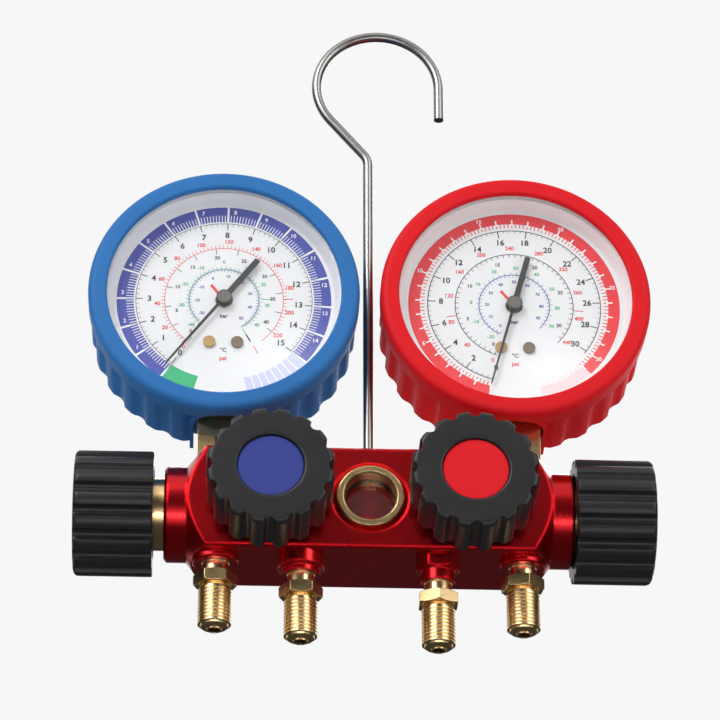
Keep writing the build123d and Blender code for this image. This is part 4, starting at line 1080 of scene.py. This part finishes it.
# ---------------- stage
class BuildStage(bpy.types.Operator):
    """Set up the floor, the soft lights, the pale world and the camera"""

    bl_idname = "manifold.stage"
    bl_label = "Stage"

    camera_aim = (-6.3 * MM, 0.0, -131.3 * MM)
    camera_azimuth = -2.4
    camera_elevation = -28.3
    camera_distance = 1.2
    lens = 174.1
    floor_drop = 0.85
    floor_lift = (0.43, 0.43, 0.435, 1)
    world_level = 0.52
    glare_level = 3.4
    strip_level = 2.8
    low_strip_level = 5.0

    def execute(self, context):
        scene = context.scene
        scene.view_settings.view_transform = "Standard"
        self.make_world(scene)
        self.make_floor()
        self.make_cards()
        self.make_lights()
        self.make_camera(scene)
        return {"FINISHED"}

    def make_world(self, scene):
        """Pale to the camera, in gloss and through glass; a plain level of light elsewhere."""
        world = bpy.data.worlds.new("pale_world")
        scene.world = world
        world.use_nodes = True
        tree = world.node_tree
        plain = tree.nodes["Background"]
        feed(tree, plain, (("Color", (1, 1, 1, 1)), ("Strength", self.world_level)))
        seen = add(tree, "ShaderNodeBackground", Strength=1.0, Color=(0.93, 0.93, 0.935, 1))
        rays = add(tree, "ShaderNodeLightPath").outputs
        either = maths(tree, "MAXIMUM", rays["Is Camera Ray"], rays["Is Transmission Ray"])
        shown = maths(tree, "MAXIMUM", either, rays["Is Glossy Ray"])
        mixed = add(tree, "ShaderNodeMixShader", ((0, shown), (1, plain.outputs[0]), (2, seen.outputs[0])))
        feed(tree, tree.nodes["World Output"], (("Surface", mixed.outputs[0]),))

    def make_floor(self):
        """Pale floor far below the hanging manifold: it takes the shadow and is as pale as the world."""
        deselect()
        level = CAD_BOX[0][2] - self.floor_drop
        bpy.ops.mesh.primitive_plane_add(size=60, location=(0, 0, level))
        floor = bpy.context.object
        floor.name = "floor"
        finish_floor = surface("pale_floor", (0.80, 0.80, 0.80), 0.8, shade=0.03)
        tree = finish_floor.node_tree
        camera_ray = add(tree, "ShaderNodeLightPath").outputs["Is Camera Ray"]
        lift = add(tree, "ShaderNodeEmission", (("Strength", camera_ray), ("Color", self.floor_lift)))
        shader = tree.nodes["Principled BSDF"]
        both = add(tree, "ShaderNodeAddShader", ((0, shader.outputs[0]), (1, lift.outputs[0])))
        feed(tree, tree.nodes["Material Output"], (("Surface", both.outputs[0]),))
        floor.data.materials.append(finish_floor)

    def make_cards(self):
        """Dark flags and bright strips that only reflections see, for metal, gloss and glass to mirror."""
        dark = surface("flag_grey", (0.045, 0.045, 0.05), 0.9, shade=0.1)
        white = dict(tint=(0.9, 0.9, 0.9), roughness=0.9, Emission_Color=(1, 1, 1, 1))
        bright = surface("strip_white", Emission_Strength=self.strip_level, **white)
        low = surface("low_strip_white", Emission_Strength=self.low_strip_level, **white)
        glare = self.soft_glare()
        centre = Vector((0, 0, (CAD_BOX[0][2] + CAD_BOX[1][2]) / 2))
        for name, place, size, finish_card in (
            ("front_flag", (0.0, -2.6, 0.0), (3.4, 2.6), dark),
            ("dial_flag", (0.1, -2.6, 1.58), (1.2, 0.6), dark),
            ("low_glare", (0.025, -2.55, 1.343), (0.20, 0.12), glare),
            ("high_glare", (0.323, -2.55, 1.337), (0.20, 0.12), glare),
            ("low_strip", (0.0, -1.5, -0.82), (1.8, 0.22), low),
            ("left_flag", (-1.7, 0.2, 0.0), (1.6, 2.4), dark),
            ("right_flag", (1.7, 0.2, 0.0), (1.6, 2.4), dark),
            ("under_flag", (0.0, 0.9, -0.85), (3.0, 3.4), dark),
            ("rear_flag", (0.0, 2.9, -0.45), (4.0, 1.7), dark),
            ("left_strip", (-0.95, -1.15, 0.75), (0.80, 1.2), bright),
            ("right_strip", (0.95, -1.15, 0.75), (0.62, 1.2), bright),
        ):
            bpy.ops.mesh.primitive_plane_add(size=1)
            card = bpy.context.object
            card.name = name
            card.scale = (*size, 1)
            spot = centre + Vector(place)
            card.location = spot
            facing = DOWN if name == "under_flag" else Vector((place[0], place[1], 0))
            card.rotation_euler = facing.to_track_quat("Z", "Y").to_euler()
            card.data.materials.append(finish_card)
            for kind in ("camera", "diffuse", "shadow", "transmission"):
                setattr(card, f"visible_{kind}", False)

    def soft_glare(self):
        """A soft patch of light, as a window leaves on the glass of a dial."""
        made, tree, _ = blank("soft_glare")
        place = (("Vector", object_place(tree)),)
        doubled = add(tree, "ShaderNodeMapping", place, Scale=(2, 2, 2)).outputs[0]
        ball = add(tree, "ShaderNodeTexGradient", (("Vector", doubled),), gradient_type="SPHERICAL")
        light = add(tree, "ShaderNodeEmission", Strength=self.glare_level).outputs[0]
        through = add(tree, "ShaderNodeBsdfTransparent").outputs[0]
        mixed = add(tree, "ShaderNodeMixShader", (("Fac", ball.outputs["Fac"]), (1, through), (2, light)))
        feed(tree, tree.nodes["Material Output"], (("Surface", mixed.outputs[0]),))
        return made

    def make_lights(self):
        """Four soft area lights round the manifold, aimed at its middle."""
        centre = Vector((0, 0, (CAD_BOX[0][2] + CAD_BOX[1][2]) / 2))
        for name, place, size, power in (
            ("key_light", (-0.65, -1.05, 0.95), 0.6, 8.5),
            ("fill_light", (1.1, -0.9, -0.05), 0.9, 2.2),
            ("low_light", (-0.2, -1.2, -0.6), 0.8, 0.9),
            ("back_light", (0.3, 1.2, 0.9), 0.8, 8.0),
        ):
            spot = centre + Vector(place)
            bpy.ops.object.light_add(type="AREA", location=spot)
            light = bpy.context.object
            light.name = name
            light.data.size = size
            light.data.energy = power
            light.rotation_euler = (centre - spot).to_track_quat("-Z", "Y").to_euler()
            light.visible_camera = False

    def make_camera(self, scene):
        """The main view, from below."""
        azimuth, elevation = math.radians(self.camera_azimuth), math.radians(self.camera_elevation)
        level = math.cos(elevation)
        back = Vector((math.sin(azimuth) * level, -math.cos(azimuth) * level, math.sin(elevation)))
        aim = Vector(self.camera_aim)
        bpy.ops.object.camera_add(location=aim + back * self.camera_distance)
        camera = bpy.context.object
        camera.rotation_euler = (-back).to_track_quat("-Z", "Y").to_euler()
        camera.data.lens = self.lens
        camera.data.clip_start = 0.05
        camera.data.clip_end = 20.0
        scene.camera = camera


# ---------------- add-on
OPERATORS = (
    FinishBlock,
    FinishBrass,
    FinishSightGlass,
    FinishHook,
    ModelBoots,
    ModelHandWheels,
    ModelPorts,
    FinishGauges,
    ModelDials,
    BuildStage,
)


class ManifoldPanel(bpy.types.Panel):
    """Lists the colours, the sizes and the steps that build the manifold"""

    bl_idname = "VIEW3D_PT_manifold"
    bl_label = "Refrigerant manifold"
    bl_space_type = "VIEW_3D"
    bl_region_type = "UI"
    bl_category = "Manifold"

    def draw(self, context):
        layout = self.layout
        for properties in (context.scene.manifold_colours, context.scene.manifold_sizes):
            box = layout.box()
            for key in properties.__annotations__:
                box.prop(properties, key)
        for operator in OPERATORS:
            layout.operator(operator.bl_idname)


CLASSES = (ManifoldColours, ManifoldSizes, *OPERATORS, ManifoldPanel)


def register():
    for item in CLASSES:
        bpy.utils.register_class(item)
    bpy.types.Scene.manifold_colours = bpy.props.PointerProperty(type=ManifoldColours)
    bpy.types.Scene.manifold_sizes = bpy.props.PointerProperty(type=ManifoldSizes)


def unregister():
    del bpy.types.Scene.manifold_sizes
    del bpy.types.Scene.manifold_colours
    for item in reversed(CLASSES):
        bpy.utils.unregister_class(item)


def main():
    """Builds everything in order."""
    register()
    bpy.ops.manifold.block()
    bpy.ops.manifold.brass()
    bpy.ops.manifold.sight_glass()
    bpy.ops.manifold.hook()
    bpy.ops.manifold.boots()
    bpy.ops.manifold.hand_wheels()
    bpy.ops.manifold.flare_ports()
    bpy.ops.manifold.gauges()
    bpy.ops.manifold.dials()
    bpy.ops.manifold.stage()


if __name__ == "__main__":
    main()
